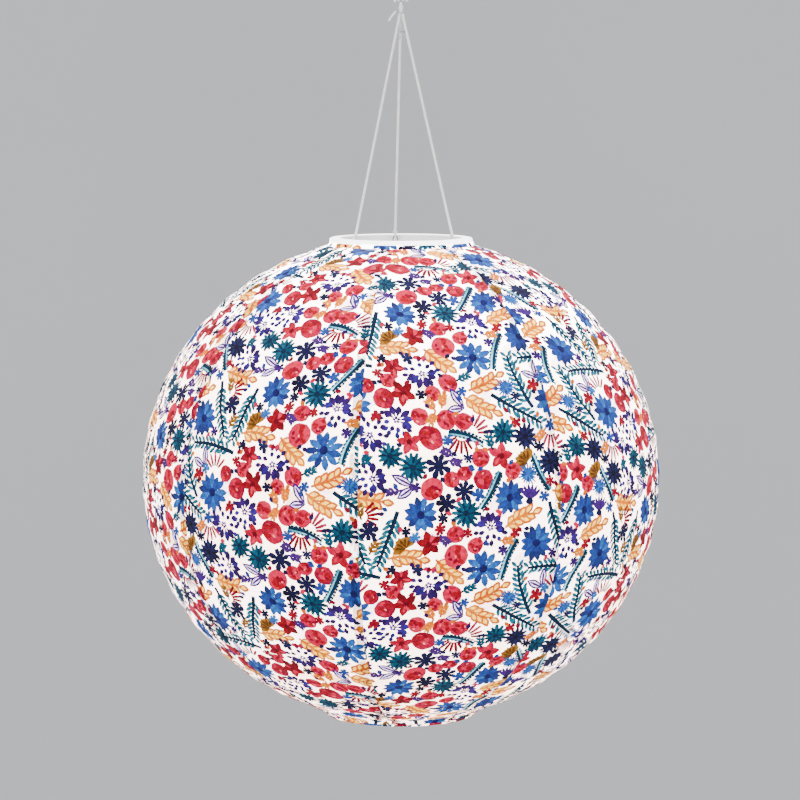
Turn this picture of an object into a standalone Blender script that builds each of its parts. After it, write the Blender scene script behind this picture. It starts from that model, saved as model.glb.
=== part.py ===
"""Hanging globe lantern: a cloth shade on a helical rib, under a white collar with a solar head.

Metres, +Z up. The origin is where a hook bears in the hanging loop, +X is right and -Y is the front.
Run with: blender --background --python part.py
"""

import math

import bmesh
import bpy
from mathutils import Matrix, Vector

# ---------------------------------------------------------------- driving dimensions
CORD_D = 0.0016            # white braided cord, for the loop and the three suspension cords
TOUCH = 0.0003             # gap kept between pieces that touch

KNOT_Z = -0.022            # the knot, below the hook; the lantern swings and twists about it
COLLAR_TOP_Z = -0.156      # upper edge of the collar
GLOBE_Z = -0.298           # centre of the shade

GLOBE_A = 0.1525           # half the shade's width
GLOBE_B = 0.1434           # half the height that its curve would have without the openings
NECK_R = 0.0432            # radius of the shade's two openings
PANELS = 8
SEAM_AZIMUTH = math.radians(-99.0)   # the seam just left of the front
PANEL_THICK = 0.0006
PANEL_GAP = math.radians(0.55)       # between neighbouring panels
PANEL_ROWS = 24
PANEL_COLUMNS = 3

RIB_TURNS = 17
RIB_D = 0.0012
RIB_MARGIN = math.radians(3.2)       # from the shade's edges to the rib's ends

COLLAR_R = 0.0420
COLLAR_BORE_R = 0.0355
COLLAR_FLANGE = 0.0042
COLLAR_SKIRT_R = 0.0386
COLLAR_SKIRT = 0.0155
LEDGE_R = 0.0336
LEDGE_TOP = 0.0120         # depth of the ledge that the tray sits on, below the collar's top

LINK_R = 0.0332            # how far the wire links hang from the axis
LINK_AZIMUTHS = {"left": math.radians(216.0), "back": math.radians(96.0), "right": math.radians(336.0)}
LINK_WIRE = 0.0007
LINK_HALF_WIDTH = 0.0013
LINK_HALF_HEIGHT = 0.0022
LINK_DEPTH = 0.0031        # the links' centres, below the collar's top

TRAY_TOP = 0.0074          # depths of the solar head's levels, below the collar's top
TRAY_FLOOR = 0.0106
TRAY_UNDER = 0.0126
POCKET = 0.0472            # side of the square pocket for the solar panel
CASE_TOP = 0.0130
CASE_FLOOR_TOP = 0.0334
CASE_UNDER = 0.0350
CASE_R = 0.0330
CASE_WALL = 0.0016
CASE_FLANGE_R = 0.0366

BATTERY_X = -0.0060
BATTERY_DEPTH = 0.0230
BATTERY_R = 0.00715
BATTERY_LENGTH = 0.0492
BOARD_DEPTH = 0.0260
LED_X = 0.0140
SWITCH_X = 0.0150
SWITCH_Y = 0.0134
SWITCH_TRAVEL = 0.0030
DOOR_W = 0.0184
DOOR_L = 0.0550
SCREW_R = 0.0275
SCREW_AZIMUTHS = [math.radians(a) for a in (180.0, 60.0, -60.0)]

HOOP_R = 0.0428            # middle of the bottom hoop's section
HOOP_WIDTH = 0.0024
HOOP_HEIGHT = 0.0026

# ---------------------------------------------------------------- materials: colour, roughness, metallic
FINISHES = {
    "cloth": ((0.93, 0.88, 0.84), 0.90, 0.0),
    "cord": ((0.86, 0.85, 0.82), 0.80, 0.0),
    "clear_thread": ((0.75, 0.76, 0.82), 0.20, 0.0),
    "white_plastic": ((0.90, 0.90, 0.92), 0.35, 0.0),
    "clear_plastic": ((0.80, 0.84, 0.88), 0.08, 0.0),
    "frosted_plastic": ((0.95, 0.92, 0.82), 0.50, 0.0),
    "solar_cell": ((0.02, 0.03, 0.09), 0.20, 0.1),
    "circuit_board": ((0.04, 0.22, 0.08), 0.50, 0.0),
    "battery_sleeve": ((0.10, 0.32, 0.16), 0.40, 0.0),
    "black_plastic": ((0.03, 0.03, 0.03), 0.45, 0.0),
    "rubber_seal": ((0.05, 0.05, 0.05), 0.80, 0.0),
    "spring_steel": ((0.62, 0.62, 0.63), 0.30, 1.0),
    "led_lens": ((1.00, 0.93, 0.70), 0.15, 0.0),
    "red_wire": ((0.60, 0.03, 0.03), 0.50, 0.0),
    "black_wire": ((0.02, 0.02, 0.02), 0.50, 0.0),
}


# ---------------------------------------------------------------- helpers
def clear_scene():
    for obj in list(bpy.data.objects):
        bpy.data.objects.remove(obj, do_unlink=True)


def new_collection(name):
    collection = bpy.data.collections.new(name)
    bpy.context.scene.collection.children.link(collection)
    return collection


def material(name, finish):
    colour, roughness, metallic = FINISHES[finish]
    mat = bpy.data.materials.new(name)
    mat.use_nodes = True
    shader = mat.node_tree.nodes["Principled BSDF"]
    shader.inputs["Base Color"].default_value = (*colour, 1.0)
    shader.inputs["Roughness"].default_value = roughness
    shader.inputs["Metallic"].default_value = metallic
    return mat


def world_place(parent):
    """The world position of an empty in the chain of pivots."""
    total = Vector((0.0, 0.0, 0.0))
    while parent:
        total += parent.location
        parent = parent.parent
    return total


def pivot(name, at, parent=None):
    empty = bpy.data.objects.new(name, None)
    PARTS.objects.link(empty)
    empty.empty_display_size = 0.01
    empty.location = Vector(at) - world_place(parent)
    empty.parent = parent
    return empty


def add(name, data, finish, parent, at=(0.0, 0.0, 0.0)):
    """A sub-part, its origin at the world point `at`, parented to its body's pivot."""
    obj = bpy.data.objects.new(name, data)
    PARTS.objects.link(obj)
    obj.location = Vector(at) - world_place(parent)
    obj.parent = parent
    data.materials.append(material(name + "_finish", finish))
    return obj


def hide_cutter(obj):
    CUTTERS.objects.link(obj)
    obj.hide_render = True
    obj.display_type = "WIRE"
    return obj


def box_mesh(name, size):
    bm = bmesh.new()
    bmesh.ops.create_cube(bm, size=1.0)
    bmesh.ops.scale(bm, vec=size, verts=bm.verts)
    mesh = bpy.data.meshes.new(name)
    bm.to_mesh(mesh)
    bm.free()
    return mesh


def cylinder_mesh(name, radius, depth, sides=24, along="Z"):
    turn = {"Z": Matrix(), "Y": Matrix.Rotation(math.radians(90.0), 4, "X")}[along]
    bm = bmesh.new()
    bmesh.ops.create_cone(
        bm, cap_ends=True, segments=sides, radius1=radius, radius2=radius, depth=depth, matrix=turn)
    mesh = bpy.data.meshes.new(name)
    bm.to_mesh(mesh)
    bm.free()
    return mesh


def profile_mesh(name, points, closed=True):
    """Points (radius, z) in the XZ plane, down the outer side first."""
    mesh = bpy.data.meshes.new(name)
    count = len(points)
    edges = [(i, i + 1) for i in range(count - 1)]
    if closed:
        edges.append((count - 1, 0))
    mesh.from_pydata([(r, 0.0, z) for r, z in points], edges, [])
    return mesh


def add_screw(obj, steps, angle=math.tau):
    screw = obj.modifiers.new("turn", "SCREW")
    screw.axis = "Z"
    screw.angle = angle
    screw.steps = steps
    screw.render_steps = steps
    screw.use_merge_vertices = angle >= math.tau
    screw.merge_threshold = 0.00001
    screw.use_smooth_shade = True
    return screw


def turned(name, points, finish, parent, at=(0.0, 0.0, 0.0), steps=48):
    obj = add(name, profile_mesh(name, points), finish, parent, at)
    add_screw(obj, steps)
    return obj


def boolean(obj, other, operation):
    mod = obj.modifiers.new(operation.lower() + "_" + other.name, "BOOLEAN")
    mod.operation = operation
    mod.object = other


def cutter(name, mesh, at, azimuth=0.0):
    obj = hide_cutter(bpy.data.objects.new(name, mesh))
    obj.location = at
    obj.rotation_euler.z = azimuth
    return obj


def tube(name, points, radius, finish, parent, at=(0.0, 0.0, 0.0), cyclic=False, resolution=2):
    """A round tube through world points, as a POLY spline."""
    curve = bpy.data.curves.new(name, "CURVE")
    curve.dimensions = "3D"
    curve.bevel_depth = radius
    curve.bevel_resolution = resolution
    curve.use_fill_caps = not cyclic
    spline = curve.splines.new("POLY")
    spline.points.add(len(points) - 1)
    for slot, point in zip(spline.points, points):
        slot.co = (*(Vector(point) - Vector(at)), 1.0)
    spline.use_cyclic_u = cyclic
    return add(name, curve, finish, parent, at)


def smooth_route(route, count):
    """`count` points read evenly from a Catmull-Rom curve through the route's own points."""
    ends = [route[0] * 2.0 - route[1], *route, route[-1] * 2.0 - route[-2]]
    fine = []
    for a, b, c, d in zip(ends, ends[1:], ends[2:], ends[3:]):
        for k in range(32):
            t = k / 32.0
            fine.append(0.5 * (2.0 * b + (c - a) * t + (2.0 * a - 5.0 * b + 4.0 * c - d) * t * t
                               + (3.0 * b - a - 3.0 * c + d) * t ** 3))
    fine.append(route[-1])
    reach = [0.0]
    for p, q in zip(fine, fine[1:]):
        reach.append(reach[-1] + (q - p).length)
    points, k = [], 0
    for i in range(count):
        want = reach[-1] * i / (count - 1)
        while k < len(fine) - 2 and reach[k + 1] < want:
            k += 1
        share = (want - reach[k]) / (reach[k + 1] - reach[k])
        points.append(fine[k].lerp(fine[k + 1], share))
    return points


def polar(radius, azimuth, z):
    return Vector((radius * math.cos(azimuth), radius * math.sin(azimuth), z))


def below_collar(depth):
    return COLLAR_TOP_Z - depth


# ---------------------------------------------------------------- loop, knots and cords
LOOP_HALF = [  # the inner strand's right half, (x, height above the knot), up from the knot
    (0.0012, 0.0039), (0.0024, 0.0072), (0.0049, 0.0125), (0.0058, 0.0168), (0.0043, 0.0210)]
LOOP_STRAND_GAP = 0.0021


def hang_loop(name, out):
    """One strand of the doubled loop, moved out from the inner strand's line in its own plane."""
    right = [Vector((x, 0.0, KNOT_Z + z)) for x, z in LOOP_HALF]
    crown = Vector((0.0, 0.0, CORD_D / 2))
    left = [Vector((-p.x, p.y, p.z)) for p in right]
    line = smooth_route(left + [crown] + right[::-1], 25)
    moved = []
    for before, point, after in zip([line[0], *line], line, [*line[1:], line[-1]]):
        along = (after - before).normalized()
        moved.append(point + Vector((-along.z, 0.0, along.x)) * out)
    return tube(name, moved, CORD_D / 2, "cord", ROOT)


def loop_knot():
    """One turn of cord round the gather knot, in the plane that it swings in."""
    turn = 0.0024
    points = []
    for i in range(16):
        a = math.tau * i / 16
        points.append(Vector((0.0, turn * math.cos(a), KNOT_Z + turn * math.sin(a))))
    return tube("loop_knot", points, 0.0006, "cord", FORE_AFT, (0.0, 0.0, KNOT_Z), cyclic=True)


def gather_knot():
    mesh = bpy.data.meshes.new("gather_knot")
    bm = bmesh.new()
    bmesh.ops.create_uvsphere(bm, u_segments=12, v_segments=8, radius=0.0015)
    bm.to_mesh(mesh)
    bm.free()
    return add("gather_knot", mesh, "cord", SIDEWAYS, (0.0, 0.0, KNOT_Z))


def cord_foot(side):
    top_of_link = below_collar(LINK_DEPTH) + LINK_HALF_HEIGHT + LINK_WIRE / 2
    return polar(LINK_R, LINK_AZIMUTHS[side], top_of_link + TOUCH)


def suspension_cord(side):
    azimuth = LINK_AZIMUTHS[side]
    foot = cord_foot(side)
    gathered = polar(0.00122, azimuth, KNOT_Z - 0.0037)
    below = polar(0.0017, azimuth, KNOT_Z - 0.0070)
    line = foot - below
    route = [gathered, below]
    route += [below + line * share for share in (0.12, 0.35, 0.65, 0.90)]
    route.append(foot)
    return tube("suspension_cord_" + side, smooth_route(route, 34), CORD_D / 2, "cord", LANTERN)


def binding_knot():
    """A turn of clear thread that holds the three cords together, tied off between them."""
    mesh = bpy.data.meshes.new("binding_knot")
    bm = bmesh.new()
    bmesh.ops.create_uvsphere(bm, u_segments=12, v_segments=8, radius=0.0016)
    bmesh.ops.scale(bm, vec=(1.0, 1.0, 1.5), verts=bm.verts)
    bm.to_mesh(mesh)
    bm.free()
    return add("binding_knot", mesh, "clear_thread", LANTERN, (0.0, 0.0, KNOT_Z - 0.0135))


def cord_tail():
    """The loose end of the cord, below the knot on the left."""
    start = Vector((-0.0031, -0.0020, KNOT_Z - 0.0022))
    route = [start, start + Vector((-0.0022, -0.0006, -0.0026)), start + Vector((-0.0040, -0.0008, -0.0056))]
    return tube("cord_tail", smooth_route(route, 8), 0.0006, "cord", LANTERN)


def wire_link(side):
    azimuth = LINK_AZIMUTHS[side]
    centre = polar(LINK_R, azimuth, below_collar(LINK_DEPTH))
    along = Vector((-math.sin(azimuth), math.cos(azimuth), 0.0))
    up = Vector((0.0, 0.0, 1.0))
    points = []
    for i in range(16):
        a = math.tau * i / 16
        points.append(centre + along * LINK_HALF_WIDTH * math.cos(a) + up * LINK_HALF_HEIGHT * math.sin(a))
    return tube("wire_link_" + side, points, LINK_WIRE / 2, "spring_steel", LANTERN, centre, cyclic=True)


# ---------------------------------------------------------------- collar and solar head
def rim_collar():
    edge = 0.0006
    points = [
        (COLLAR_BORE_R + edge, 0.0), (COLLAR_R - 2 * edge, 0.0), (COLLAR_R - edge / 2, -edge / 2),
        (COLLAR_R, -2 * edge), (COLLAR_R, -COLLAR_FLANGE), (COLLAR_SKIRT_R, -COLLAR_FLANGE),
        (COLLAR_SKIRT_R, -COLLAR_SKIRT), (LEDGE_R, -COLLAR_SKIRT), (LEDGE_R, -LEDGE_TOP),
        (COLLAR_BORE_R, -LEDGE_TOP), (COLLAR_BORE_R, -edge)]
    collar = turned("rim_collar", points, "white_plastic", LANTERN, (0.0, 0.0, COLLAR_TOP_Z), steps=48)
    for side, azimuth in LINK_AZIMUTHS.items():
        hole_depth = LINK_DEPTH + LINK_HALF_HEIGHT
        lug = box_mesh("lug_" + side, (0.0046, 0.0013, 0.0034))
        at = polar(COLLAR_BORE_R - 0.0017, azimuth, below_collar(hole_depth))
        boolean(collar, cutter("lug_" + side, lug, at, azimuth), "UNION")
        hole = cylinder_mesh("lug_hole_" + side, 0.0009, 0.0040, sides=16, along="Y")
        at = polar(LINK_R, azimuth, below_collar(hole_depth))
        boolean(collar, cutter("lug_hole_" + side, hole, at, azimuth), "DIFFERENCE")
    return collar


def tray_seal():
    outer, inner = COLLAR_BORE_R - TOUCH, LEDGE_R + 0.0002
    top, under = -(LEDGE_TOP - TOUCH - 0.0005), -(LEDGE_TOP - TOUCH)
    points = [(inner, top), (outer, top), (outer, under), (inner, under)]
    return turned("tray_seal", points, "rubber_seal", LANTERN, (0.0, 0.0, COLLAR_TOP_Z), steps=36)


def panel_tray():
    outer = COLLAR_BORE_R - TOUCH
    flange_under = LEDGE_TOP - 2 * TOUCH - 0.0005
    body_r = LEDGE_R - 0.0004
    points = [
        (0.0, -TRAY_TOP), (outer - 0.0006, -TRAY_TOP), (outer, -TRAY_TOP - 0.0006),
        (outer, -flange_under), (body_r, -flange_under), (body_r, -TRAY_UNDER), (0.0, -TRAY_UNDER)]
    mesh = profile_mesh("panel_tray", points, closed=False)
    tray = add("panel_tray", mesh, "white_plastic", LANTERN, (0.0, 0.0, COLLAR_TOP_Z))
    add_screw(tray, 40)
    post_length = CASE_FLOOR_TOP - TRAY_UNDER - 0.0006
    for i, azimuth in enumerate(SCREW_AZIMUTHS, 1):
        overlap = 0.0008
        post = cylinder_mesh(f"tray_post_{i}", 0.0030, post_length + overlap, sides=16)
        middle = below_collar(TRAY_UNDER + (post_length - overlap) / 2)
        boolean(tray, cutter(f"tray_post_{i}", post, polar(SCREW_R, azimuth, middle)), "UNION")
        hole = cylinder_mesh(f"tray_post_hole_{i}", 0.00155, 0.0240, sides=12)
        mouth = polar(SCREW_R, azimuth, below_collar(CASE_UNDER))
        boolean(tray, cutter(f"tray_post_hole_{i}", hole, mouth), "DIFFERENCE")
    pocket = cutter("pocket", box_mesh("pocket", (POCKET, POCKET, 0.0100)),
                    (0.0, 0.0, below_collar(TRAY_FLOOR) + 0.0050))
    round_corners(pocket, 0.0050)
    boolean(tray, pocket, "DIFFERENCE")
    for i, y in enumerate((-0.0040, 0.0040), 1):
        hole = cylinder_mesh(f"lead_hole_{i}", 0.0012, 0.0080, sides=12)
        boolean(tray, cutter(f"lead_hole_{i}", hole, (0.0080, y, below_collar(TRAY_FLOOR))), "DIFFERENCE")
    return tray


def round_corners(obj, radius):
    """Rounds a box's four upright edges."""
    weights = obj.data.attributes.new("bevel_weight_edge", "FLOAT", "EDGE")
    for edge, weight in zip(obj.data.edges, weights.data):
        low, high = (obj.data.vertices[i].co for i in edge.vertices)
        weight.value = 1.0 if abs(low.z - high.z) > abs(low.x - high.x) + abs(low.y - high.y) else 0.0
    mod = obj.modifiers.new("round_corners", "BEVEL")
    mod.limit_method = "WEIGHT"
    mod.width = radius
    mod.segments = 4


def plate(name, side, top, thick, corner, finish):
    """A square plate in the pocket, its top at a depth below the collar's top."""
    centre = (0.0, 0.0, below_collar(top + thick / 2))
    obj = add(name, box_mesh(name, (side, side, thick)), finish, LANTERN, centre)
    round_corners(obj, corner)
    return obj


def solar_stack():
    seal = plate("panel_seal", POCKET - 0.0010, 0.0095, 0.0008, 0.0045, "rubber_seal")
    middle = box_mesh("seal_window", (0.0400, 0.0400, 0.0100))
    boolean(seal, cutter("seal_window", middle, (0.0, 0.0, below_collar(0.0095))), "DIFFERENCE")
    plate("solar_panel", POCKET - 0.0012, 0.0084, 0.0008, 0.0042, "solar_cell")
    window = plate("panel_window", POCKET - 0.0006, 0.0069, 0.0012, 0.0047, "clear_plastic")
    return seal, window


def lower_case():
    under_ledge = COLLAR_SKIRT + TOUCH
    inner = CASE_R - CASE_WALL
    points = [
        (inner, -CASE_TOP), (CASE_R, -CASE_TOP), (CASE_R, -under_ledge), (CASE_FLANGE_R, -under_ledge),
        (CASE_FLANGE_R, -under_ledge - 0.0018), (CASE_R, -under_ledge - 0.0018),
        (CASE_R, -CASE_UNDER + 0.0018), (CASE_R - 0.0006, -CASE_UNDER + 0.0005),
        (CASE_R - 0.0020, -CASE_UNDER), (0.0, -CASE_UNDER), (0.0, -CASE_FLOOR_TOP),
        (inner, -CASE_FLOOR_TOP)]
    case = turned("lower_case", points, "white_plastic", LANTERN, (0.0, 0.0, COLLAR_TOP_Z), steps=40)
    floor_z = below_collar(CASE_FLOOR_TOP)
    for end, y in (("near", -0.0286), ("far", 0.0280)):
        wall = box_mesh(f"battery_wall_{end}", (0.0140, 0.0012, 0.0160))
        at = (BATTERY_X, y, floor_z + 0.0160 / 2 - 0.0006)
        boolean(case, cutter(f"battery_wall_{end}", wall, at), "UNION")
    for side in (-1, 1):
        door_rail(case, side)
    door_hole = box_mesh("battery_hole", (0.0152, 0.0526, 0.0060))
    boolean(case, cutter("battery_hole", door_hole, (BATTERY_X, 0.0, floor_z)), "DIFFERENCE")
    led_hole = cylinder_mesh("led_hole", 0.0070, 0.0060, sides=24)
    boolean(case, cutter("led_hole", led_hole, (LED_X, 0.0, floor_z)), "DIFFERENCE")
    slot = box_mesh("switch_slot", (0.0028, 0.0068, 0.0060))
    boolean(case, cutter("switch_slot", slot, (SWITCH_X, SWITCH_Y, floor_z)), "DIFFERENCE")
    for i, azimuth in enumerate(SCREW_AZIMUTHS, 1):
        hole = cylinder_mesh(f"screw_hole_{i}", 0.0017, 0.0060, sides=12)
        boolean(case, cutter(f"screw_hole_{i}", hole, polar(SCREW_R, azimuth, floor_z)), "DIFFERENCE")
    return case


def door_rail(case, side):
    """An L-shaped rail beside the battery door: an upright leg and a lip under the door's edge."""
    leg_x = BATTERY_X + side * (DOOR_W / 2 + TOUCH + 0.0006)
    length = 0.0440
    leg = box_mesh(f"rail_leg_{side}", (0.0012, length, 0.0034))
    at = (leg_x, 0.0, below_collar(CASE_UNDER + 0.0012))
    boolean(case, cutter(f"rail_leg_{side}", leg, at), "UNION")
    lip = box_mesh(f"rail_lip_{side}", (0.0024, length - 0.0006, 0.0009))
    at = (leg_x - side * 0.0007, 0.0, below_collar(CASE_UNDER + 0.00240))
    boolean(case, cutter(f"rail_lip_{side}", lip, at), "UNION")


def battery_door():
    top = CASE_UNDER + TOUCH
    thick = 0.0012
    at = (BATTERY_X, 0.0, below_collar(top + thick / 2))
    mesh = box_mesh("battery_door", (DOOR_W, DOOR_L, thick))
    door = add("battery_door", mesh, "white_plastic", LANTERN, at)
    round_corners(door, 0.0020)
    for i in range(3):
        ridge = box_mesh(f"door_ridge_{i}", (0.0090, 0.0010, 0.0010))
        place = (BATTERY_X, -0.0180 - 0.0024 * i, below_collar(top + thick + 0.0002))
        boolean(door, cutter(f"door_ridge_{i}", ridge, place), "UNION")
    return door


def case_screw(number, azimuth):
    head_top = CASE_UNDER + TOUCH
    points = [
        (0.0, 0.0120), (0.00100, 0.0120), (0.00125, 0.0115), (0.00125, 0.0), (0.0027, 0.0),
        (0.0027, -0.0008), (0.0020, -0.0016), (0.0, -0.0018)]
    mesh = profile_mesh(f"case_screw_{number}", points, closed=False)
    at = polar(SCREW_R, azimuth, below_collar(head_top))
    screw = add(f"case_screw_{number}", mesh, "spring_steel", LANTERN, at)
    add_screw(screw, 16)
    drive = box_mesh(f"drive_{number}", (0.0030, 0.0006, 0.0016))
    boolean(screw, cutter(f"drive_{number}", drive, at + Vector((0.0, 0.0, -0.0020)), azimuth), "DIFFERENCE")
    return screw


def battery():
    ring = BATTERY_R - 0.0006
    half = BATTERY_LENGTH / 2
    points = [
        (0.0, half + 0.0010), (0.0026, half + 0.0010), (0.0026, half), (ring, half),
        (BATTERY_R, half - 0.0006), (BATTERY_R, -half + 0.0006), (ring, -half), (0.0, -half)]
    mesh = profile_mesh("battery", points, closed=False)
    cell = add("battery", mesh, "battery_sleeve", LANTERN, (BATTERY_X, 0.0, below_collar(BATTERY_DEPTH)))
    add_screw(cell, 24)
    cell.rotation_euler.x = math.radians(-90.0)
    return cell


def battery_spring():
    points = []
    turns, steps = 3, 12
    start = -BATTERY_LENGTH / 2 - TOUCH - 0.0003
    for i in range(turns * steps + 1):
        a = math.tau * i / steps
        radius = 0.0022 + 0.0012 * i / (turns * steps)
        y = start - 0.0023 * i / (turns * steps)
        points.append(Vector((
            BATTERY_X + radius * math.cos(a), y, below_collar(BATTERY_DEPTH) + radius * math.sin(a))))
    return tube("battery_spring", points, 0.0003, "spring_steel", LANTERN, resolution=0)


def battery_contact():
    y = BATTERY_LENGTH / 2 + 0.0010 + TOUCH + 0.0003
    mesh = box_mesh("battery_contact", (0.0090, 0.0005, 0.0090))
    return add("battery_contact", mesh, "spring_steel", LANTERN, (BATTERY_X, y, below_collar(BATTERY_DEPTH)))


def circuit_board():
    thick = 0.0016
    at = (0.0145, 0.0, below_collar(BOARD_DEPTH + thick / 2))
    mesh = box_mesh("circuit_board", (0.0210, 0.0340, thick))
    return add("circuit_board", mesh, "circuit_board", LANTERN, at)


def solar_lead(name, finish, side):
    """A lead from the solar panel's underside, through the tray, to the board."""
    route = [
        Vector((0.0080, side * 0.0040, below_collar(0.0096))),
        Vector((0.0080, side * 0.0041, below_collar(0.0140))),
        Vector((0.0105, side * 0.0068, below_collar(0.0185))),
        Vector((0.0098, side * 0.0076, below_collar(0.0225))),
        Vector((0.0092, side * 0.0074, below_collar(BOARD_DEPTH - TOUCH)))]
    return tube(name, smooth_route(route, 14), 0.0006, finish, LANTERN, resolution=0)


def led_emitter():
    dome_r, flange_r = 0.0025, 0.0029
    points = [(0.0, 0.0), (flange_r, 0.0), (flange_r, -0.0010), (dome_r, -0.0010), (dome_r, -0.0052)]
    for i in range(1, 5):
        a = math.radians(90.0) * i / 4
        points.append((dome_r * math.cos(a), -0.0052 - dome_r * math.sin(a)))
    points[-1] = (0.0, points[-1][1])
    mesh = profile_mesh("led_emitter", points, closed=False)
    at = (LED_X, 0.0, below_collar(BOARD_DEPTH + 0.0016 + TOUCH))
    led = add("led_emitter", mesh, "led_lens", LANTERN, at)
    add_screw(led, 16)
    return led


def led_diffuser():
    """A frosted bowl: a neck in the case's hole, a flange under the floor and a dome below it."""
    wall, neck_r, flange_r, depth = 0.0011, 0.0066, 0.0086, 0.0056
    points = [
        (neck_r - wall, 0.0018), (neck_r, 0.0018), (neck_r, -TOUCH), (flange_r, -TOUCH),
        (flange_r, -0.0012)]
    arc = [math.radians(90.0) * i / 5 for i in range(6)]
    outer = [(0.0076 * math.cos(a), -0.0012 - depth * math.sin(a)) for a in arc]
    inner = [((0.0076 - wall) * math.cos(a), -0.0012 - (depth - wall) * math.sin(a)) for a in reversed(arc)]
    outer[-1] = (0.0, outer[-1][1])
    inner[0] = (0.0, inner[0][1])
    inner[-1] = (neck_r - wall, -0.0012)
    at = (LED_X, 0.0, below_collar(CASE_UNDER))
    return turned("led_diffuser", points + outer + inner, "frosted_plastic", LANTERN, at, steps=20)


def switch():
    size = (0.0042, 0.0070, 0.0040)
    depth = BOARD_DEPTH + 0.0016 + TOUCH + size[2] / 2
    add("switch_body", box_mesh("switch_body", size), "black_plastic", LANTERN,
        (SWITCH_X, SWITCH_Y, below_collar(depth)))
    knob_y = SWITCH_Y - SWITCH_TRAVEL / 2
    stem_top = depth + size[2] / 2 + TOUCH
    stem_under = CASE_UNDER + 0.0006
    at = (SWITCH_X, knob_y, below_collar((stem_top + stem_under) / 2))
    stem = box_mesh("switch_knob", (0.0020, 0.0028, stem_under - stem_top))
    knob = add("switch_knob", stem, "black_plastic", LANTERN, at)
    cap = box_mesh("switch_cap", (0.0046, 0.0044, 0.0012))
    place = (SWITCH_X, knob_y, below_collar(CASE_UNDER + TOUCH + 0.0006))
    boolean(knob, cutter("switch_cap", cap, place), "UNION")
    for i in (-1, 0, 1):
        ridge = box_mesh(f"cap_ridge_{i}", (0.0040, 0.0005, 0.0008))
        place = (SWITCH_X, knob_y + 0.0013 * i, below_collar(CASE_UNDER + 0.0017))
        boolean(knob, cutter(f"cap_ridge_{i}", ridge, place), "UNION")
    return knob


# ---------------------------------------------------------------- shade
def on_meridian(angle, inset=0.0):
    """(radius, z) on the shade's curve, moved in from it along the curve's normal."""
    normal = Vector((GLOBE_B * math.cos(angle), GLOBE_A * math.sin(angle))).normalized()
    radius = GLOBE_A * math.cos(angle) - inset * normal.x
    return radius, GLOBE_Z + GLOBE_B * math.sin(angle) - inset * normal.y


NECK_ANGLE = math.acos(NECK_R / GLOBE_A)


def shade_panel(number):
    """One gore of the cloth shade, from the upper opening to the lower one."""
    points = []
    for i in range(PANEL_ROWS + 1):
        points.append(on_meridian(NECK_ANGLE * (1.0 - 2.0 * i / PANEL_ROWS)))
    name = f"shade_panel_{number}"
    panel = add(name, profile_mesh(name, points, closed=False), "cloth", LANTERN)
    panel.rotation_euler.z = SEAM_AZIMUTH + (number - 1) * math.tau / PANELS + PANEL_GAP / 2
    add_screw(panel, PANEL_COLUMNS, math.tau / PANELS - PANEL_GAP)
    skin = panel.modifiers.new("cloth", "SOLIDIFY")
    skin.thickness = PANEL_THICK
    skin.offset = -1.0
    return panel


def rib_spiral():
    """The wire helix inside the cloth that keeps the shade round and lets it fold flat."""
    per_turn = PANELS * PANEL_COLUMNS
    inset = PANEL_THICK + 0.00045 + RIB_D / 2
    top = NECK_ANGLE - RIB_MARGIN
    points = []
    for i in range(RIB_TURNS * per_turn + 1):
        share = i / (RIB_TURNS * per_turn)
        radius, z = on_meridian(top * (1.0 - 2.0 * share), inset)
        points.append(polar(radius, SEAM_AZIMUTH + math.tau * i / per_turn, z))
    return tube("rib_spiral", points, RIB_D / 2, "spring_steel", LANTERN, resolution=0)


def top_hoop():
    points = [polar(0.0403, math.tau * i / 36, below_collar(0.0064)) for i in range(36)]
    return tube("top_hoop", points, 0.0010, "spring_steel", LANTERN, cyclic=True, resolution=1)


def bottom_hoop():
    top = on_meridian(-NECK_ANGLE)[1] - TOUCH
    edge = 0.0005
    outer, inner = HOOP_R + HOOP_WIDTH / 2, HOOP_R - HOOP_WIDTH / 2
    points = [
        (inner, 0.0), (outer - edge, 0.0), (outer, -edge), (outer, -HOOP_HEIGHT), (inner, -HOOP_HEIGHT)]
    return turned("bottom_hoop", points, "spring_steel", LANTERN, (0.0, 0.0, top), steps=40)


# ---------------------------------------------------------------- assembly
clear_scene()
PARTS = new_collection("hanging_globe_lantern")
CUTTERS = new_collection("cutters")
ROOT = pivot("hang_point", (0.0, 0.0, 0.0))
FORE_AFT = pivot("swing_fore_aft_axis", (0.0, 0.0, KNOT_Z), ROOT)
SIDEWAYS = pivot("swing_sideways_axis", (0.0, 0.0, KNOT_Z), FORE_AFT)
LANTERN = pivot("twist_axis", (0.0, 0.0, KNOT_Z), SIDEWAYS)

hang_loop("hang_loop_inner", 0.0)
hang_loop("hang_loop_outer", LOOP_STRAND_GAP)
loop_knot()
gather_knot()
binding_knot()
cord_tail()
for cord_side in LINK_AZIMUTHS:
    suspension_cord(cord_side)
    wire_link(cord_side)

rim_collar()
tray_seal()
panel_tray()
solar_stack()
lower_case()
battery_door()
for screw_number, screw_azimuth in enumerate(SCREW_AZIMUTHS, 1):
    case_screw(screw_number, screw_azimuth)
battery()
battery_spring()
battery_contact()
circuit_board()
solar_lead("solar_lead_red", "red_wire", -1)
solar_lead("solar_lead_black", "black_wire", 1)
led_emitter()
led_diffuser()
switch()

top_hoop()
for panel_number in range(1, PANELS + 1):
    shade_panel(panel_number)
rib_spiral()
bottom_hoop()
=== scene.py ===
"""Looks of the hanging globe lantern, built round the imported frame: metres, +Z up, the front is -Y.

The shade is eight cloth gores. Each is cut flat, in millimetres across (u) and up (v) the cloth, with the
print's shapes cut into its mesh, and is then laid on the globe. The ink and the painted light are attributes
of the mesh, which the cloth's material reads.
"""

import math

import bmesh
import bpy
import numpy as np
from mathutils import Matrix, Vector
from mathutils.geometry import delaunay_2d_cdt


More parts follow.
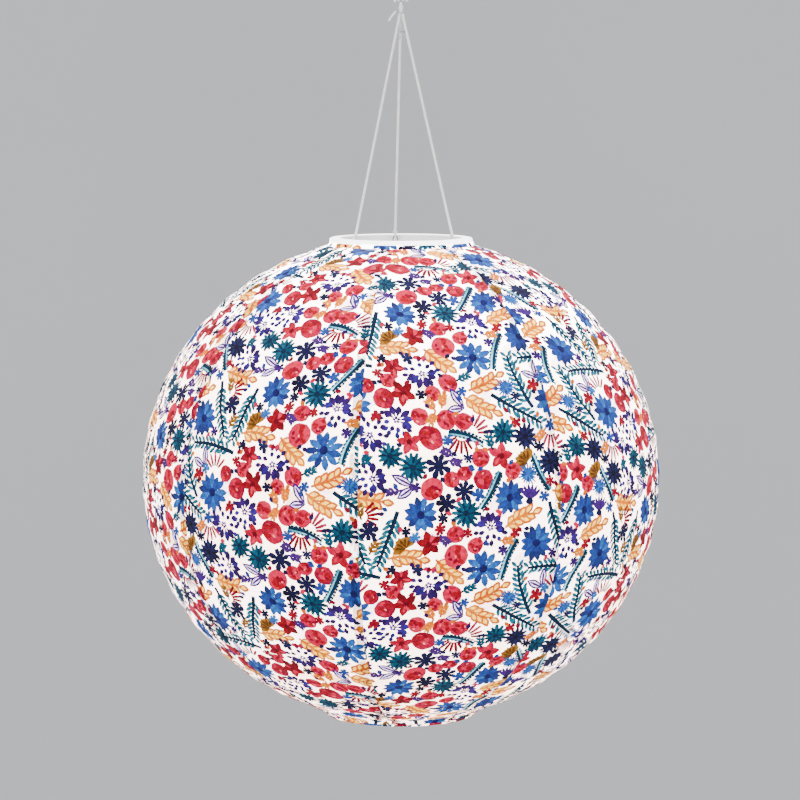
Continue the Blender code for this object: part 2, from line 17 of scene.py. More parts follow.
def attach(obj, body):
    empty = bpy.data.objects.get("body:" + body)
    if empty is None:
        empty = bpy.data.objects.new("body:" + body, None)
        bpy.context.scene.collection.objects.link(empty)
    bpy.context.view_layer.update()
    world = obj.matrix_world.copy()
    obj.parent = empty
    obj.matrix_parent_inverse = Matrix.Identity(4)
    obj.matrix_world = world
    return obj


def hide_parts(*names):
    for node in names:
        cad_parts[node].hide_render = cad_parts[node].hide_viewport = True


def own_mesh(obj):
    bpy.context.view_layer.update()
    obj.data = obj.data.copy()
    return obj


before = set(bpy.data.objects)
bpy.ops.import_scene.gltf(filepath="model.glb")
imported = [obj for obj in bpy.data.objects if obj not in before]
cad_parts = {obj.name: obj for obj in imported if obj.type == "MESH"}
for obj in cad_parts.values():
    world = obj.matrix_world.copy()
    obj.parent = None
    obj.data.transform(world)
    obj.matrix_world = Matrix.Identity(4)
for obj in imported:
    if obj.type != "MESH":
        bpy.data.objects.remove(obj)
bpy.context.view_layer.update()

# ---- sizes from the CAD part, in metres
CORD_D = 0.0016
KNOT_Z = -0.022
COLLAR_TOP_Z = -0.156
GLOBE_Z = -0.298
GLOBE_A = 0.1525
GLOBE_B = 0.1434
NECK_R = 0.0432
GORES = 8
SEAM_AZIMUTH = math.radians(-99.0)
RIB_TURNS = 17
RIB_MARGIN = math.radians(3.2)
LINK_R = 0.0332
LINK_AZIMUTHS = {"left": math.radians(216.0), "back": math.radians(96.0), "right": math.radians(336.0)}
LINK_WIRE = 0.0007
LINK_DEPTH = 0.0031
LINK_HALF_HEIGHT = 0.0022
LINK_HALF_WIDTH = 0.0013
TOUCH = 0.0003
LED_AT = Vector((0.014, 0.0, -0.194))
MM = 0.001
TAU = math.tau


# ---- meshes
def link(obj):
    bpy.context.scene.collection.objects.link(obj)
    return obj


def mesh_object(name, points, faces, merge=0.0):
    """A smooth mesh whose faces all look outwards; points closer than merge become one."""
    mesh = bpy.data.meshes.new(name)
    mesh.from_pydata([tuple(p) for p in points], [], faces)
    bm = bmesh.new()
    bm.from_mesh(mesh)
    if merge:
        bmesh.ops.remove_doubles(bm, verts=bm.verts, dist=merge)
    bmesh.ops.recalc_face_normals(bm, faces=bm.faces)
    bm.to_mesh(mesh)
    bm.free()
    mesh.shade_smooth()
    return link(bpy.data.objects.new(name, mesh))


def bridges(rings, sides, ring_open=False, rings_open=False):
    """Quads between each ring of points and the next; an open ring or stack isn't joined up at its ends."""
    faces = []
    for i in range(rings - rings_open):
        a, b = i * sides, (i + 1) % rings * sides
        for k in range(sides - ring_open):
            m = (k + 1) % sides
            faces.append((a + k, a + m, b + m, b + k))
    return faces


def polar(radius, azimuth, z):
    return Vector((radius * math.cos(azimuth), radius * math.sin(azimuth), z))


def smooth_route(route, count):
    """`count` points read evenly from a Catmull-Rom curve through the route's own points."""
    route = [Vector(p) for p in route]
    ends = [route[0] * 2.0 - route[1], *route, route[-1] * 2.0 - route[-2]]
    fine = []
    for a, b, c, d in zip(ends, ends[1:], ends[2:], ends[3:]):
        for k in range(32):
            t = k / 32.0
            fine.append(0.5 * (2.0 * b + (c - a) * t + (2.0 * a - 5.0 * b + 4.0 * c - d) * t * t
                               + (3.0 * b - a - 3.0 * c + d) * t ** 3))
    fine.append(route[-1])
    reach = [0.0]
    for p, q in zip(fine, fine[1:]):
        reach.append(reach[-1] + (q - p).length)
    points, k = [], 0
    for i in range(count):
        want = reach[-1] * i / (count - 1)
        while k < len(fine) - 2 and reach[k + 1] < want:
            k += 1
        share = (want - reach[k]) / (reach[k + 1] - reach[k])
        points.append(fine[k].lerp(fine[k + 1], share))
    return points


def transported_frames(path, closed):
    """Two directions square to the path at each point, carried along it without twist."""
    count = len(path)
    frames, side = [], None
    for i in range(count):
        before = path[i - 1] if i or closed else path[0]
        after = path[(i + 1) % count] if i < count - 1 or closed else path[-1]
        along = (after - before).normalized()
        if side is None:
            helper = Vector((0.0, 0.0, 1.0)) if abs(along.z) < 0.9 else Vector((0.0, 1.0, 0.0))
            side = along.cross(helper)
        side = (side - along * side.dot(along)).normalized()
        frames.append((side.copy(), along.cross(side)))
    return frames


STRAND_GROOVE = 0.16   # how deep the grooves between strands are, as a share of the radius


def sweep(name, path, radius, sides, closed=False, strands=0, pitch=0.004, ends=True):
    """A tube along the path. With strands, its section has that many lobes, which wind round once a pitch."""
    frames = transported_frames(path, closed)
    points, run = [], 0.0
    count = len(path)
    for i, (centre, (side, up)) in enumerate(zip(path, frames)):
        if i:
            run += (centre - path[i - 1]).length
        scale = 1.0
        if ends and not closed:
            scale = (0.72, 0.93)[min(i, count - 1 - i)] if min(i, count - 1 - i) < 2 else 1.0
        for k in range(sides):
            a = TAU * k / sides
            r = radius(i) if callable(radius) else radius
            if strands:
                lobe = abs(math.cos(0.5 * strands * (a - TAU * run / (pitch * strands))))
                r *= 1.0 - STRAND_GROOVE + STRAND_GROOVE * lobe
            points.append(centre + (side * math.cos(a) + up * math.sin(a)) * r * scale)
    faces = bridges(count, sides, rings_open=not closed)
    if not closed:
        faces += [tuple(reversed(range(sides))), tuple(range((count - 1) * sides, count * sides))]
    return mesh_object(name, points, faces)


def sharpen(obj, degrees):
    obj.data.set_sharp_from_angle(angle=math.radians(degrees))
    return obj


def joined(name, parts):
    """One mesh object made of several, which are removed."""
    bm = bmesh.new()
    for part in parts:
        mesh = part.data
        mesh.transform(part.matrix_world)
        bm.from_mesh(mesh)
    mesh = bpy.data.meshes.new(name)
    bm.to_mesh(mesh)
    bm.free()
    for part in parts:
        bpy.data.objects.remove(part)
    mesh.shade_smooth()
    return link(bpy.data.objects.new(name, mesh))


def rounded(points, radius):
    """A closed profile with each corner cut by an arc-like curve of about that radius."""
    count, steps, made = len(points), 3, []
    for i, corner in enumerate(points):
        before, after = Vector(points[i - 1]), Vector(points[(i + 1) % count])
        corner = Vector(corner)
        first = corner + (before - corner).normalized() * min(radius, (before - corner).length * 0.45)
        last = corner + (after - corner).normalized() * min(radius, (after - corner).length * 0.45)
        for k in range(steps + 1):
            t = k / steps
            made.append(first * (1 - t) ** 2 + corner * 2 * t * (1 - t) + last * t * t)
    return made


def lathe(name, profile, steps, closed=True):
    """A (radius, z) profile turned round Z."""
    points = []
    for i in range(steps):
        a = TAU * i / steps
        points += [(r * math.cos(a), r * math.sin(a), z) for r, z in profile]
    faces = bridges(steps, len(profile), ring_open=not closed)
    return sharpen(mesh_object(name, points, faces, merge=1e-7), 40.0)


# ---- materials
class Graph:
    """A material with one Principled shader, and short calls for the nodes that feed it."""

    def __init__(self, name, **sockets):
        self.material = bpy.data.materials.new(name)
        self.material.use_nodes = True
        self.tree = self.material.node_tree
        self.shader = self.tree.nodes["Principled BSDF"]
        self.here = self.node("TexCoord").outputs["Object"]   # the row frame's own metres
        for socket, value in sockets.items():
            self.set(socket.replace("_", " "), value)

    def set(self, socket, value):
        target = self.shader.inputs[socket]
        if isinstance(value, bpy.types.NodeSocket):
            self.tree.links.new(value, target)
        elif isinstance(value, (tuple, list)):
            target.default_value = (*value, 1.0) if len(value) == 3 and target.type == "RGBA" else value
        else:
            target.default_value = value

    def node(self, kind, inputs=None, **settings):
        made = self.tree.nodes.new("ShaderNode" + kind)
        for key, value in settings.items():
            setattr(made, key, value)
        for key, value in (inputs or {}).items():
            if isinstance(value, bpy.types.NodeSocket):
                self.tree.links.new(value, made.inputs[key])
            else:
                made.inputs[key].default_value = value
        return made

    def math(self, operation, a, b=0.0):
        return self.node("Math", {0: a, 1: b}, operation=operation).outputs[0]

    def remap(self, value, low, high, to_low, to_high):
        return self.node("MapRange", {"Value": value, "From Min": low, "From Max": high,
                                      "To Min": to_low, "To Max": to_high}).outputs[0]

    def mix(self, factor, a, b):
        a, b = ((*x, 1.0) if isinstance(x, tuple) and len(x) == 3 else x for x in (a, b))
        return self.node("Mix", {0: factor, 6: a, 7: b}, data_type="RGBA").outputs[2]

    def attribute(self, name):
        return self.node("Attribute", attribute_name=name, attribute_type="GEOMETRY")

    def product(self, value, *others):
        for other in others:
            value = self.math("MULTIPLY", value, other)
        return value

    def split(self, vector):
        return self.node("SeparateXYZ", {0: vector}).outputs

    def vector(self, operation, a, b=None, output=0):
        inputs = {0: a}
        if b is not None:
            inputs["Scale" if operation == "SCALE" else 1] = b
        return self.node("VectorMath", inputs, operation=operation).outputs[output]

    def noise(self, scale, detail=3.0, roughness=0.5, flat=None):
        """Noise over the object's place, or in two dimensions over a flat one."""
        inputs = {"Vector": flat or self.here, "Scale": scale, "Detail": detail, "Roughness": roughness}
        return self.node("TexNoise", inputs, noise_dimensions="2D" if flat else "3D").outputs["Fac"]

    def stain(self, spots, low, high, a, b):
        """The shader's colour, from a where the spots are below low to b where they are above high."""
        self.set("Base Color", self.mix(self.remap(spots, low, high, 0.0, 1.0), a, b))

    def off(self, value, middle):
        """How far value is from middle."""
        return self.math("ABSOLUTE", self.math("SUBTRACT", value, middle))

    def bump(self, height, strength, distance):
        made = self.node("Bump", {"Height": height, "Strength": strength, "Distance": distance})
        self.set("Normal", made.outputs[0])


def plastic(name, colour, roughness, marks=0.06, emission=None):
    """Moulded plastic: a little colour drift, finger marks in the gloss and a fine moulded grain; given an
    emission, it also glows with painted light.
    """
    g = Graph(name, Specular_IOR_Level=0.5)
    drift = g.noise(60.0, 2.0)
    dark = tuple(c * (1.0 - marks) for c in colour)
    g.stain(drift, 0.3, 0.7, dark, colour)
    smudge = g.noise(240.0, 4.0, 0.6)
    g.set("Roughness", g.remap(smudge, 0.3, 0.7, roughness * 0.85, roughness * 1.2))
    g.bump(g.noise(4000.0, 2.0), 0.35, 0.00002)
    # painted glow, where an emission is given
    if emission:
        glow, strength = emission
        g.set("Emission Color", glow)
        g.set("Emission Strength", strength)
    return g.material


def metal(name, colour, roughness):
    g = Graph(name, Metallic=1.0)
    spots = g.noise(900.0, 4.0, 0.65)
    dull = tuple(c * 0.72 for c in colour)
    g.stain(spots, 0.35, 0.65, dull, colour)
    g.set("Roughness", g.remap(spots, 0.3, 0.7, roughness * 0.8, roughness * 1.4))
    g.bump(spots, 0.3, 0.00002)
    return g.material


def give(obj, material):
    obj.data.materials.clear()
    obj.data.materials.append(material)
    return obj


def finish_piece(obj, material, body, slot, *nodes):
    give(obj, material)
    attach(obj, body)
    if nodes:
        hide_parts(*nodes)
    return obj


# ---- camera
CAMERA_DISTANCE = 2.0
CAMERA_PITCH = math.radians(6.0)
CAMERA_AIM = Vector((-0.0006, 0.0, -0.252))
VIEW_SIDE = 0.472

camera_data = bpy.data.cameras.new("camera")
camera_data.sensor_width = 36.0
camera_data.lens = 36.0 * CAMERA_DISTANCE / VIEW_SIDE
camera = link(bpy.data.objects.new("camera", camera_data))
camera_back = Vector((0.0, -math.cos(CAMERA_PITCH), math.sin(CAMERA_PITCH)))
camera.location = CAMERA_AIM + camera_back * CAMERA_DISTANCE
camera.rotation_euler = (-camera_back).to_track_quat("-Z", "Y").to_euler()
camera_data.clip_end = 50.0
bpy.context.scene.camera = camera


# ---- cords, loop and knots
def cord_material(name):
    """Braided polyester: fine crossing strands, slightly dirty in the grooves."""
    g = Graph(name, Roughness=0.78, Sheen_Weight=0.25, Sheen_Roughness=0.4)
    fibres = g.noise(2600.0, 3.0, 0.6)
    dirt = g.noise(320.0, 2.0)
    pale = g.mix(g.remap(fibres, 0.35, 0.65, 0.0, 1.0), (0.84, 0.83, 0.81), (0.97, 0.97, 0.96))
    g.set("Base Color", g.mix(g.remap(dirt, 0.50, 0.80, 0.0, 0.30), pale, (0.62, 0.60, 0.56)))
    g.bump(fibres, 0.6, 0.00008)
    return g.material


CORD = cord_material("white_cord")
CORD_STRANDS = 3
CORD_PITCH = 0.0026
LOOP_HALF = [
    (0.0012, 0.0039), (0.0024, 0.0072), (0.0049, 0.0125), (0.0058, 0.0168), (0.0043, 0.0210)]
LOOP_STRAND_GAP = 0.0021


def cord_tube(name, path, diameter, body, *nodes, sides=15):
    obj = sweep(name, path, diameter / 2, sides=sides, strands=CORD_STRANDS, pitch=CORD_PITCH)
    return finish_piece(obj, CORD, body, "cord", *nodes)


def hang_loop(node, out):
    right = [Vector((x, 0.0, KNOT_Z + z)) for x, z in LOOP_HALF]
    crown = Vector((0.0, 0.0, CORD_D / 2))
    left = [Vector((-p.x, p.y, p.z)) for p in right]
    line = smooth_route(left + [crown] + right[::-1], 90)
    path = []
    for before, point, after in zip([line[0], *line], line, [*line[1:], line[-1]]):
        along = (after - before).normalized()
        path.append(point + Vector((-along.z, 0.0, along.x)) * out)
    obj = cord_tube("strand_" + node, path, CORD_D, "hanging_loop", node)


def cord_foot(side):
    top_of_link = COLLAR_TOP_Z - LINK_DEPTH + LINK_HALF_HEIGHT + LINK_WIRE / 2
    return polar(LINK_R, LINK_AZIMUTHS[side], top_of_link + TOUCH)


def suspension_path(side, count):
    azimuth = LINK_AZIMUTHS[side]
    foot = cord_foot(side)
    gathered = polar(0.00122, azimuth, KNOT_Z - 0.0037)
    below = polar(0.0017, azimuth, KNOT_Z - 0.0070)
    line = foot - below
    route = [gathered, below]
    route += [below + line * share for share in (0.12, 0.35, 0.65, 0.90)]
    route.append(foot)
    return smooth_route(route, count)


FOOT_TURNS = 2.6         # how often the cord's end goes round it
FOOT_START = 0.0006      # height of the first turn over the link
FOOT_RISE = 0.0020       # height that the turns take up
FOOT_R = 0.00100
FOOT_STRAND = 0.00034    # radius of the wound end
EYE_R = 0.00105
EYE_DEPTH = 0.00190
EYE_STRAND = 0.00055


def foot_knot(side):
    """The cord's end, taken through the wire link and wound about two and a half times round the cord."""
    azimuth = LINK_AZIMUTHS[side]
    path = suspension_path(side, 200)[::-1]
    foot = path[0]
    along = (path[12] - path[0]).normalized()
    out = polar(1.0, azimuth, 0.0)
    side_way = along.cross(out).normalized()
    front = side_way.cross(along).normalized()
    points = []
    for i in range(60):
        t = i / 59
        a = TAU * FOOT_TURNS * t
        round_cord = (front * math.cos(a) + side_way * math.sin(a)) * FOOT_R
        points.append(foot + along * (FOOT_START + FOOT_RISE * t) + round_cord)
    points.append(points[-1] + side_way * 0.0005 + along * 0.0008 + front * 0.0001)
    points.append(points[-1] + side_way * 0.0003 + along * 0.0009 + front * 0.0002)
    wound = sweep("wound", points, FOOT_STRAND, sides=8, strands=2, pitch=0.002)
    bight = []
    for i in range(25):
        a = math.pi * i / 24
        drop = Vector((0, 0, 1)) * EYE_DEPTH * math.sin(a)
        bight.append(foot + out * EYE_R * math.cos(a) - drop + along * 0.0009)
    eye = sweep("eye", bight, EYE_STRAND, sides=8, strands=2, pitch=0.002)
    obj = joined("foot_knot_" + side, [wound, eye])
    return finish_piece(obj, CORD, "lantern", "cord")


def suspension_cord(side):
    path = suspension_path(side, 240)
    node = "suspension_cord_" + side
    obj = cord_tube("cord_" + side, path, CORD_D, "lantern", node)
    foot_knot(side)


def loop_knot():
    """The loop's cord, wound round the gathered cords in the plane that it swings in."""
    turn = 0.0024
    path = []
    for i in range(72):
        a = TAU * i / 72
        wave = 0.00022 * math.sin(2 * a)
        path.append(Vector((wave, turn * math.cos(a), KNOT_Z + turn * math.sin(a))))
    obj = sweep("knot_turn", path, 0.00072, sides=12, closed=True, strands=3, pitch=TAU * turn / 6)
    return finish_piece(obj, CORD, "loop_knot", "cord", "loop_knot")


GATHER_R = 0.00098
GATHER_STRAND = 0.00052   # radius of the cord in each turn


def gather_knot():
    """A tight ball of three crossing turns, where the suspension cords come together."""
    turns = []
    for k in range(3):
        tilt = Matrix.Rotation(math.radians(60.0 * k), 3, "Z") @ Matrix.Rotation(math.radians(62.0), 3, "X")
        path = []
        for i in range(40):
            a = TAU * i / 40
            path.append(Vector((0.0, 0.0, KNOT_Z)) + tilt @ polar(GATHER_R, a, 0.0))
        turns.append(sweep(f"turn_{k}", path, GATHER_STRAND, sides=8, closed=True, strands=2, pitch=0.0017))
    neck = [Vector((0.0, 0.0, KNOT_Z - 0.0006 - 0.0003 * i)) for i in range(9)]
    turns.append(sweep("neck", neck, 0.0011, sides=12, strands=3, pitch=0.003))
    obj = joined("gather_ball", turns)
    return finish_piece(obj, CORD, "gather_knot", "cord", "gather_knot")


TAIL_ROUTE = [(-0.0031, -0.0020, -0.0022), (-0.0053, -0.0026, -0.0048), (-0.0071, -0.0028, -0.0078)]
TAIL_R = 0.0006
TAIL_FRAY = 0.00025      # how much wider the last few of its points get


def tail():
    path = smooth_route([Vector(p) + Vector((0.0, 0.0, KNOT_Z)) for p in TAIL_ROUTE], 30)
    obj = sweep("loose_tail", path, lambda i: TAIL_R + TAIL_FRAY * max(0, i - 22) / 7, sides=10, strands=3,
                pitch=0.002)
    return finish_piece(obj, CORD, "lantern", "cord", "cord_tail")


def thread_material():
    g = Graph("clear_thread", Roughness=0.18, Transmission_Weight=0.55, IOR=1.5)
    g.set("Base Color", g.mix(g.noise(900.0, 2.0), (0.62, 0.68, 0.82), (0.88, 0.90, 0.96)))
    return g.material


BINDING_DROP = 0.0135    # how far the winding is below the knot
BINDING_TURNS = 4.4
BINDING_R = 0.0024
BINDING_HEIGHT = 0.0020
BINDING_THREAD = 0.00026
BEAD_R = 0.0004


def binding():
    """Clear thread wound round the three cords and tied off, with two short ends."""
    centre = Vector((0.0, 0.0, KNOT_Z - BINDING_DROP))
    path = []
    for i in range(150):
        t = i / 149
        path.append(centre + polar(BINDING_R, TAU * BINDING_TURNS * t, BINDING_HEIGHT * (t - 0.5)))
    parts = [sweep("winding", path, BINDING_THREAD, sides=6)]
    start = centre + Vector((0.0006, -BINDING_R, 0.0))
    for x, drop in ((-0.0010, 0.0052), (0.0013, 0.0060)):
        ends = smooth_route([start, start + Vector((x * 0.6, -0.0006, -drop * 0.45)),
                             start + Vector((x * 2.2, -0.0002, -drop))], 16)
        parts.append(sweep("end", ends, 0.00022, sides=6))
    bead = [start + Vector((BEAD_R * math.cos(TAU * i / 16), -0.00015, BEAD_R * math.sin(TAU * i / 16)))
            for i in range(16)]
    parts.append(sweep("bead", bead, 0.00036, sides=6, closed=True))
    obj = joined("thread_binding", parts)
    return finish_piece(obj, thread_material(), "lantern", "clear_thread", "binding_knot")


hang_loop("hang_loop_inner", 0.0)
hang_loop("hang_loop_outer", LOOP_STRAND_GAP)
for cord_side in LINK_AZIMUTHS:
    suspension_cord(cord_side)
loop_knot()
gather_knot()
tail()
binding()


# ---- the print: colours of the lit inks
INK = {
    "blue": (0.028, 0.065, 0.38), "blue_deep": (0.018, 0.015, 0.19), "blue_mid": (0.030, 0.115, 0.52),
    "sky": (0.045, 0.30, 0.92), "navy": (0.014, 0.013, 0.075), "navy_soft": (0.024, 0.030, 0.14),
    "ink_black": (0.010, 0.008, 0.030),
    "teal": (0.014, 0.17, 0.28), "teal_dark": (0.007, 0.050, 0.105), "teal_deep": (0.006, 0.027, 0.072),
    "teal_light": (0.03, 0.42, 0.58), "teal_wash": (0.9, 2.2, 2.7),
    "pink_red": (1.00, 0.004, 0.085), "coral": (1.22, 0.030, 0.110), "coral_pale": (2.3, 0.50, 0.48),
    "red": (0.58, 0.004, 0.020), "red_dark": (0.20, 0.004, 0.012), "crimson": (0.36, 0.002, 0.030),
    "rose": (1.25, 0.11, 0.26), "pink_line": (0.95, 0.06, 0.15), "pink_wash": (4.9, 3.0, 3.5),
    "orange": (1.62, 0.42, 0.001), "orange_deep": (1.20, 0.20, 0.001), "orange_wash": (3.2, 1.60, 0.30),
    "yellow": (2.3, 1.05, 0.03), "yellow_wash": (3.4, 1.8, 0.20),
    "ochre": (0.66, 0.26, 0.016), "brown": (0.17, 0.055, 0.010), "brown_dark": (0.065, 0.024, 0.006),
    "violet": (0.085, 0.018, 0.27), "violet_dark": (0.034, 0.008, 0.12), "violet_blue": (0.050, 0.030, 0.42),
    "lilac": (0.42, 0.17, 0.90), "lilac_wash": (2.9, 2.4, 4.2), "blue_wash": (2.7, 3.1, 4.4),
    "purple": (0.11, 0.030, 0.22), "purple_pale": (2.9, 2.3, 3.6)}
TILE = np.array((118.0, 121.0))
PRINT_SEED = 20417
INK_SPREAD = 0.30   # millimetres that ink creeps past its drawn edge
MOTIF_SCALE = 1.10
OVERLAP = 1.00       # millimetres by which neighbouring shapes may touch


def unit(angle):
    return np.array((math.cos(angle), math.sin(angle)))


def crept(points, by):
    """An anticlockwise outline, moved out all round."""
    edge = np.roll(points, -1, axis=0) - points
    edge /= np.maximum(np.linalg.norm(edge, axis=1, keepdims=True), 1e-6)
    square = np.stack([edge[:, 1], -edge[:, 0]], axis=1)
    before = np.roll(edge, 1, axis=0)
    notch = before[:, :1] * edge[:, 1:] - before[:, 1:] * edge[:, :1] < -0.1
    out = square + np.roll(square, 1, axis=0)
    out /= np.maximum(np.linalg.norm(out, axis=1, keepdims=True), 0.5)
    return points + np.where(notch, 0.25, 1.0) * by * out


def crosses_itself(points):
    """Whether any two edges of an outline cross."""
    a, b = points, np.roll(points, -1, axis=0)

    def side(p, q, r):
        return (q[:, None, 0] - p[:, None, 0]) * (r[None, :, 1] - p[:, None, 1]) \
            - (q[:, None, 1] - p[:, None, 1]) * (r[None, :, 0] - p[:, None, 0])

    apart = side(a, b, a) * side(a, b, b) < 0.0
    return bool((apart & apart.T).any())


class Motif:
    """Shapes in millimetres about (0, 0), and the discs that keep its neighbours off."""

    def __init__(self, draw, rng):
        self.shapes = []
        self.discs = []
        draw(self, rng)

    def add(self, points, first, last=None, start=(0.0, 0.0), end=(0.0, 1.0), cover=1.0):
        """A filled outline whose ink runs from the first colour at start to the last one at end."""
        points = np.asarray(points, float) * MOTIF_SCALE
        x, y = points[:, 0], points[:, 1]
        if (x * np.roll(y, -1) - y * np.roll(x, -1)).sum() < 0.0:
            points = points[::-1]   # the triangulation takes an outline that runs anticlockwise
        if not first.endswith(("wash", "pale")):
            for spread in (INK_SPREAD, INK_SPREAD / 2, INK_SPREAD / 4):
                wider = crept(points, spread)
                if not crosses_itself(wider):
                    points = wider
                    break
        start, end = (np.asarray(p, float) * MOTIF_SCALE for p in (start, end))
        self.shapes.append((points, INK[first], INK[last or first], start, end, cover))

    def disc(self, x, y, radius):
        self.discs.append((x * MOTIF_SCALE, y * MOTIF_SCALE, radius * MOTIF_SCALE))

    def discs_along(self, long, bend, shares, radius):
        for share in shares:
            self.disc(*bowed(long, bend, share), radius)


def pick(rng, choices):
    return choices[int(rng.integers(0, len(choices)))]


def turned_round(points, angle, at=(0.0, 0.0)):
    c, s = math.cos(angle), math.sin(angle)
    return np.asarray(points) @ np.array(((c, s), (-s, c))) + at


def teardrop(at, angle, length, width, steps=(0.0, 0.28, 0.58, 0.84, 1.0), belly=1.5):
    t = np.array(steps)
    half = 0.5 * width * np.sin(math.pi * t ** belly)
    side = np.stack([t * length, half], axis=1)
    back = np.stack([t[1:-1][::-1] * length, -half[1:-1][::-1]], axis=1)
    return turned_round(np.concatenate([side, back]), angle, at)


ROUND_TIP = (0.0, 0.24, 0.48, 0.70, 0.86, 0.96, 1.0)


def blob(at, radius_x, radius_y, angle, rng, count, wobble=0.08):
    a = np.arange(count) * TAU / count
    r = 1.0 + wobble * rng.uniform(-1.0, 1.0, count)
    return turned_round(np.stack([radius_x * r * np.cos(a), radius_y * r * np.sin(a)], axis=1), angle, at)


def stroke(line, widths):
    """A brush stroke along a line of points, with a width at each."""
    line = np.asarray(line, float)
    along = np.gradient(line, axis=0)
    along /= np.linalg.norm(along, axis=1, keepdims=True)
    side = np.stack([-along[:, 1], along[:, 0]], axis=1) * (np.asarray(widths)[:, None] / 2)
    return np.concatenate([line + side, (line - side)[::-1]])


def bowed(length, bend, t):
    """The point at share t along a bowed line from (0, 0) to (length, 0)."""
    return np.array((t * length, bend * math.sin(math.pi * t)))


def bowed_line(length, bend, count):
    return np.array([bowed(length, bend, t) for t in np.linspace(0.0, 1.0, count)])


ROUND_PETAL = ((-0.46, 0.74), (-0.22, 0.98), (0.22, 0.98), (0.46, 0.74))
SPIKE = ((-0.10, 1.0), (0.12, 0.97))


def lobed(radius, lobes, notch, fullness, rng, jitter, tip=ROUND_PETAL):
    """One outline of a flower whose petals are joined at its middle."""
    points = []
    step = TAU / lobes
    for i in range(lobes):
        a = (i + rng.uniform(-0.07, 0.07)) * step
        r = radius * (1.0 + rng.uniform(-jitter, jitter))
        points.append(unit((i - 0.5) * step) * radius * notch * rng.uniform(0.85, 1.15))
        points += [unit(a + step * fullness * aside) * r * reach for aside, reach in tip]
    return np.array(points)


def daisy(m, rng):
    radius = rng.uniform(8.6, 10.4)
    petals = int(rng.integers(11, 14))
    inner = radius * 0.13
    m.add(blob((0, 0), radius * 0.36, radius * 0.34, 0.0, rng, 14, 0.10), "blue_mid", "blue", (-3, 0), (3, 0))
    for i in range(petals):
        a = TAU * i / petals + rng.uniform(-0.05, 0.05)
        long = (radius - inner) * rng.uniform(0.86, 1.06)
        first, last = pick(rng, [("sky", "blue_mid"), ("blue_mid", "blue"), ("blue", "blue_mid"),
                                 ("blue", "navy_soft")])
        at = unit(a) * inner
        m.add(teardrop(at, a, long, radius * 0.33, ROUND_TIP, 1.45), first, last, at, unit(a) * radius)
    m.add(blob((0, 0), radius * 0.20, radius * 0.19, 0.0, rng, 12), "blue_deep", "navy", (0, -2), (0, 2))
    m.disc(0, 0, radius)


def navy_blossom(m, rng):
    radius = rng.uniform(4.8, 6.3)
    tint = pick(rng, ("navy", "navy_soft", "ink_black"))
    m.add(lobed(radius, int(rng.integers(7, 9)), 0.36, 0.92, rng, 0.14), tint, "navy", (-4, 0), (4, 0))
    m.disc(0, 0, radius * 0.94)


def many_petal(m, rng):
    radius = rng.uniform(6.4, 7.6)
    outer, inner, spot = pick(rng, [("navy_soft", "navy", "ink_black"), ("blue_deep", "navy", "ink_black"),
                                    ("teal_dark", "teal", "teal_deep")])
    m.add(lobed(radius, int(rng.integers(13, 16)), 0.66, 0.90, rng, 0.10), outer, inner, (-6, -2), (6, 2))
    for i in range(7):
        a = TAU * i / 7 + rng.uniform(-0.2, 0.2)
        m.add(teardrop(unit(a) * 1.4, a, radius * 0.55, 0.8), spot)
    m.add(blob((0, 0), 1.5, 1.3, 0.0, rng, 9), spot)
    m.disc(0, 0, radius * 0.97)


def shaggy(m, rng):
    radius = rng.uniform(4.9, 6.4)
    m.add(lobed(radius, int(rng.integers(17, 21)), 0.62, 1.0, rng, 0.14, SPIKE), "sky", "blue_mid",
          (-5, 3), (5, -3))
    for i in range(6):
        a = TAU * i / 6 + rng.uniform(-0.3, 0.3)
        m.add(teardrop(unit(a) * 0.8, a, radius * 0.6, 0.7), "blue_mid", "blue")
    m.disc(0, 0, radius * 0.9)


def mottled(m, at, radius, rng):
    """A round bloom in wet red with darker and paler pools."""
    at = np.asarray(at, float)
    first, last = pick(rng, [("pink_red", "coral"), ("coral", "pink_red"), ("pink_red", "pink_red"),
                             ("crimson", "pink_red")])
    m.add(blob(at, radius, radius * rng.uniform(0.86, 0.98), rng.uniform(0, TAU), rng, 18, 0.05), first, last,
          at - radius, at + radius)
    for ink, count, low, high in (("coral", 4, 0.10, 0.20), ("red", 5, 0.13, 0.26),
                                  ("crimson", 3, 0.08, 0.17), ("coral_pale", 1, 0.07, 0.12)):
        for _ in range(count):
            place = at + unit(rng.uniform(0, TAU)) * radius * math.sqrt(rng.uniform(0.0, 0.55))
            size = radius * rng.uniform(low, high)
            m.add(blob(place, size * 1.5, size * 0.8, rng.uniform(0, TAU), rng, 6, 0.2), ink)
    m.disc(*at, radius)


def bloom_pair(m, rng):
    first = rng.uniform(5.0, 6.6)
    mottled(m, (0, 0), first, rng)
    a = rng.uniform(0, TAU)
    second = rng.uniform(3.9, 5.2)
    mottled(m, unit(a) * (first + second + 0.8), second, rng)
    if rng.random() < 0.45:
        third = rng.uniform(4.0, 5.4)
        mottled(m, unit(a + 1.15) * (first + third + 0.8), third, rng)


def bloom(m, rng):
    mottled(m, (0, 0), rng.uniform(4.4, 6.4), rng)


def star(m, rng):
    radius = rng.uniform(6.0, 7.2)
    first, last = pick(rng, [("red", "red_dark"), ("crimson", "red"), ("red", "pink_red")])
    for i in range(5):
        a = TAU * i / 5 + rng.uniform(-0.10, 0.10)
        long = radius * rng.uniform(0.92, 1.12)
        m.add(teardrop((0, 0), a, long, radius * 0.60, ROUND_TIP, 0.95), first, last, (-5, -3), (5, 3))
    m.add(blob((0, 0), radius * 0.26, radius * 0.2, rng.uniform(0, 3), rng, 8), "red_dark", "crimson")
    for i in range(3):
        a = rng.uniform(0, TAU)
        m.add(teardrop(unit(a) * 1.0, a, radius * 0.6, 0.9), "coral")
    m.disc(0, 0, radius * 0.86)


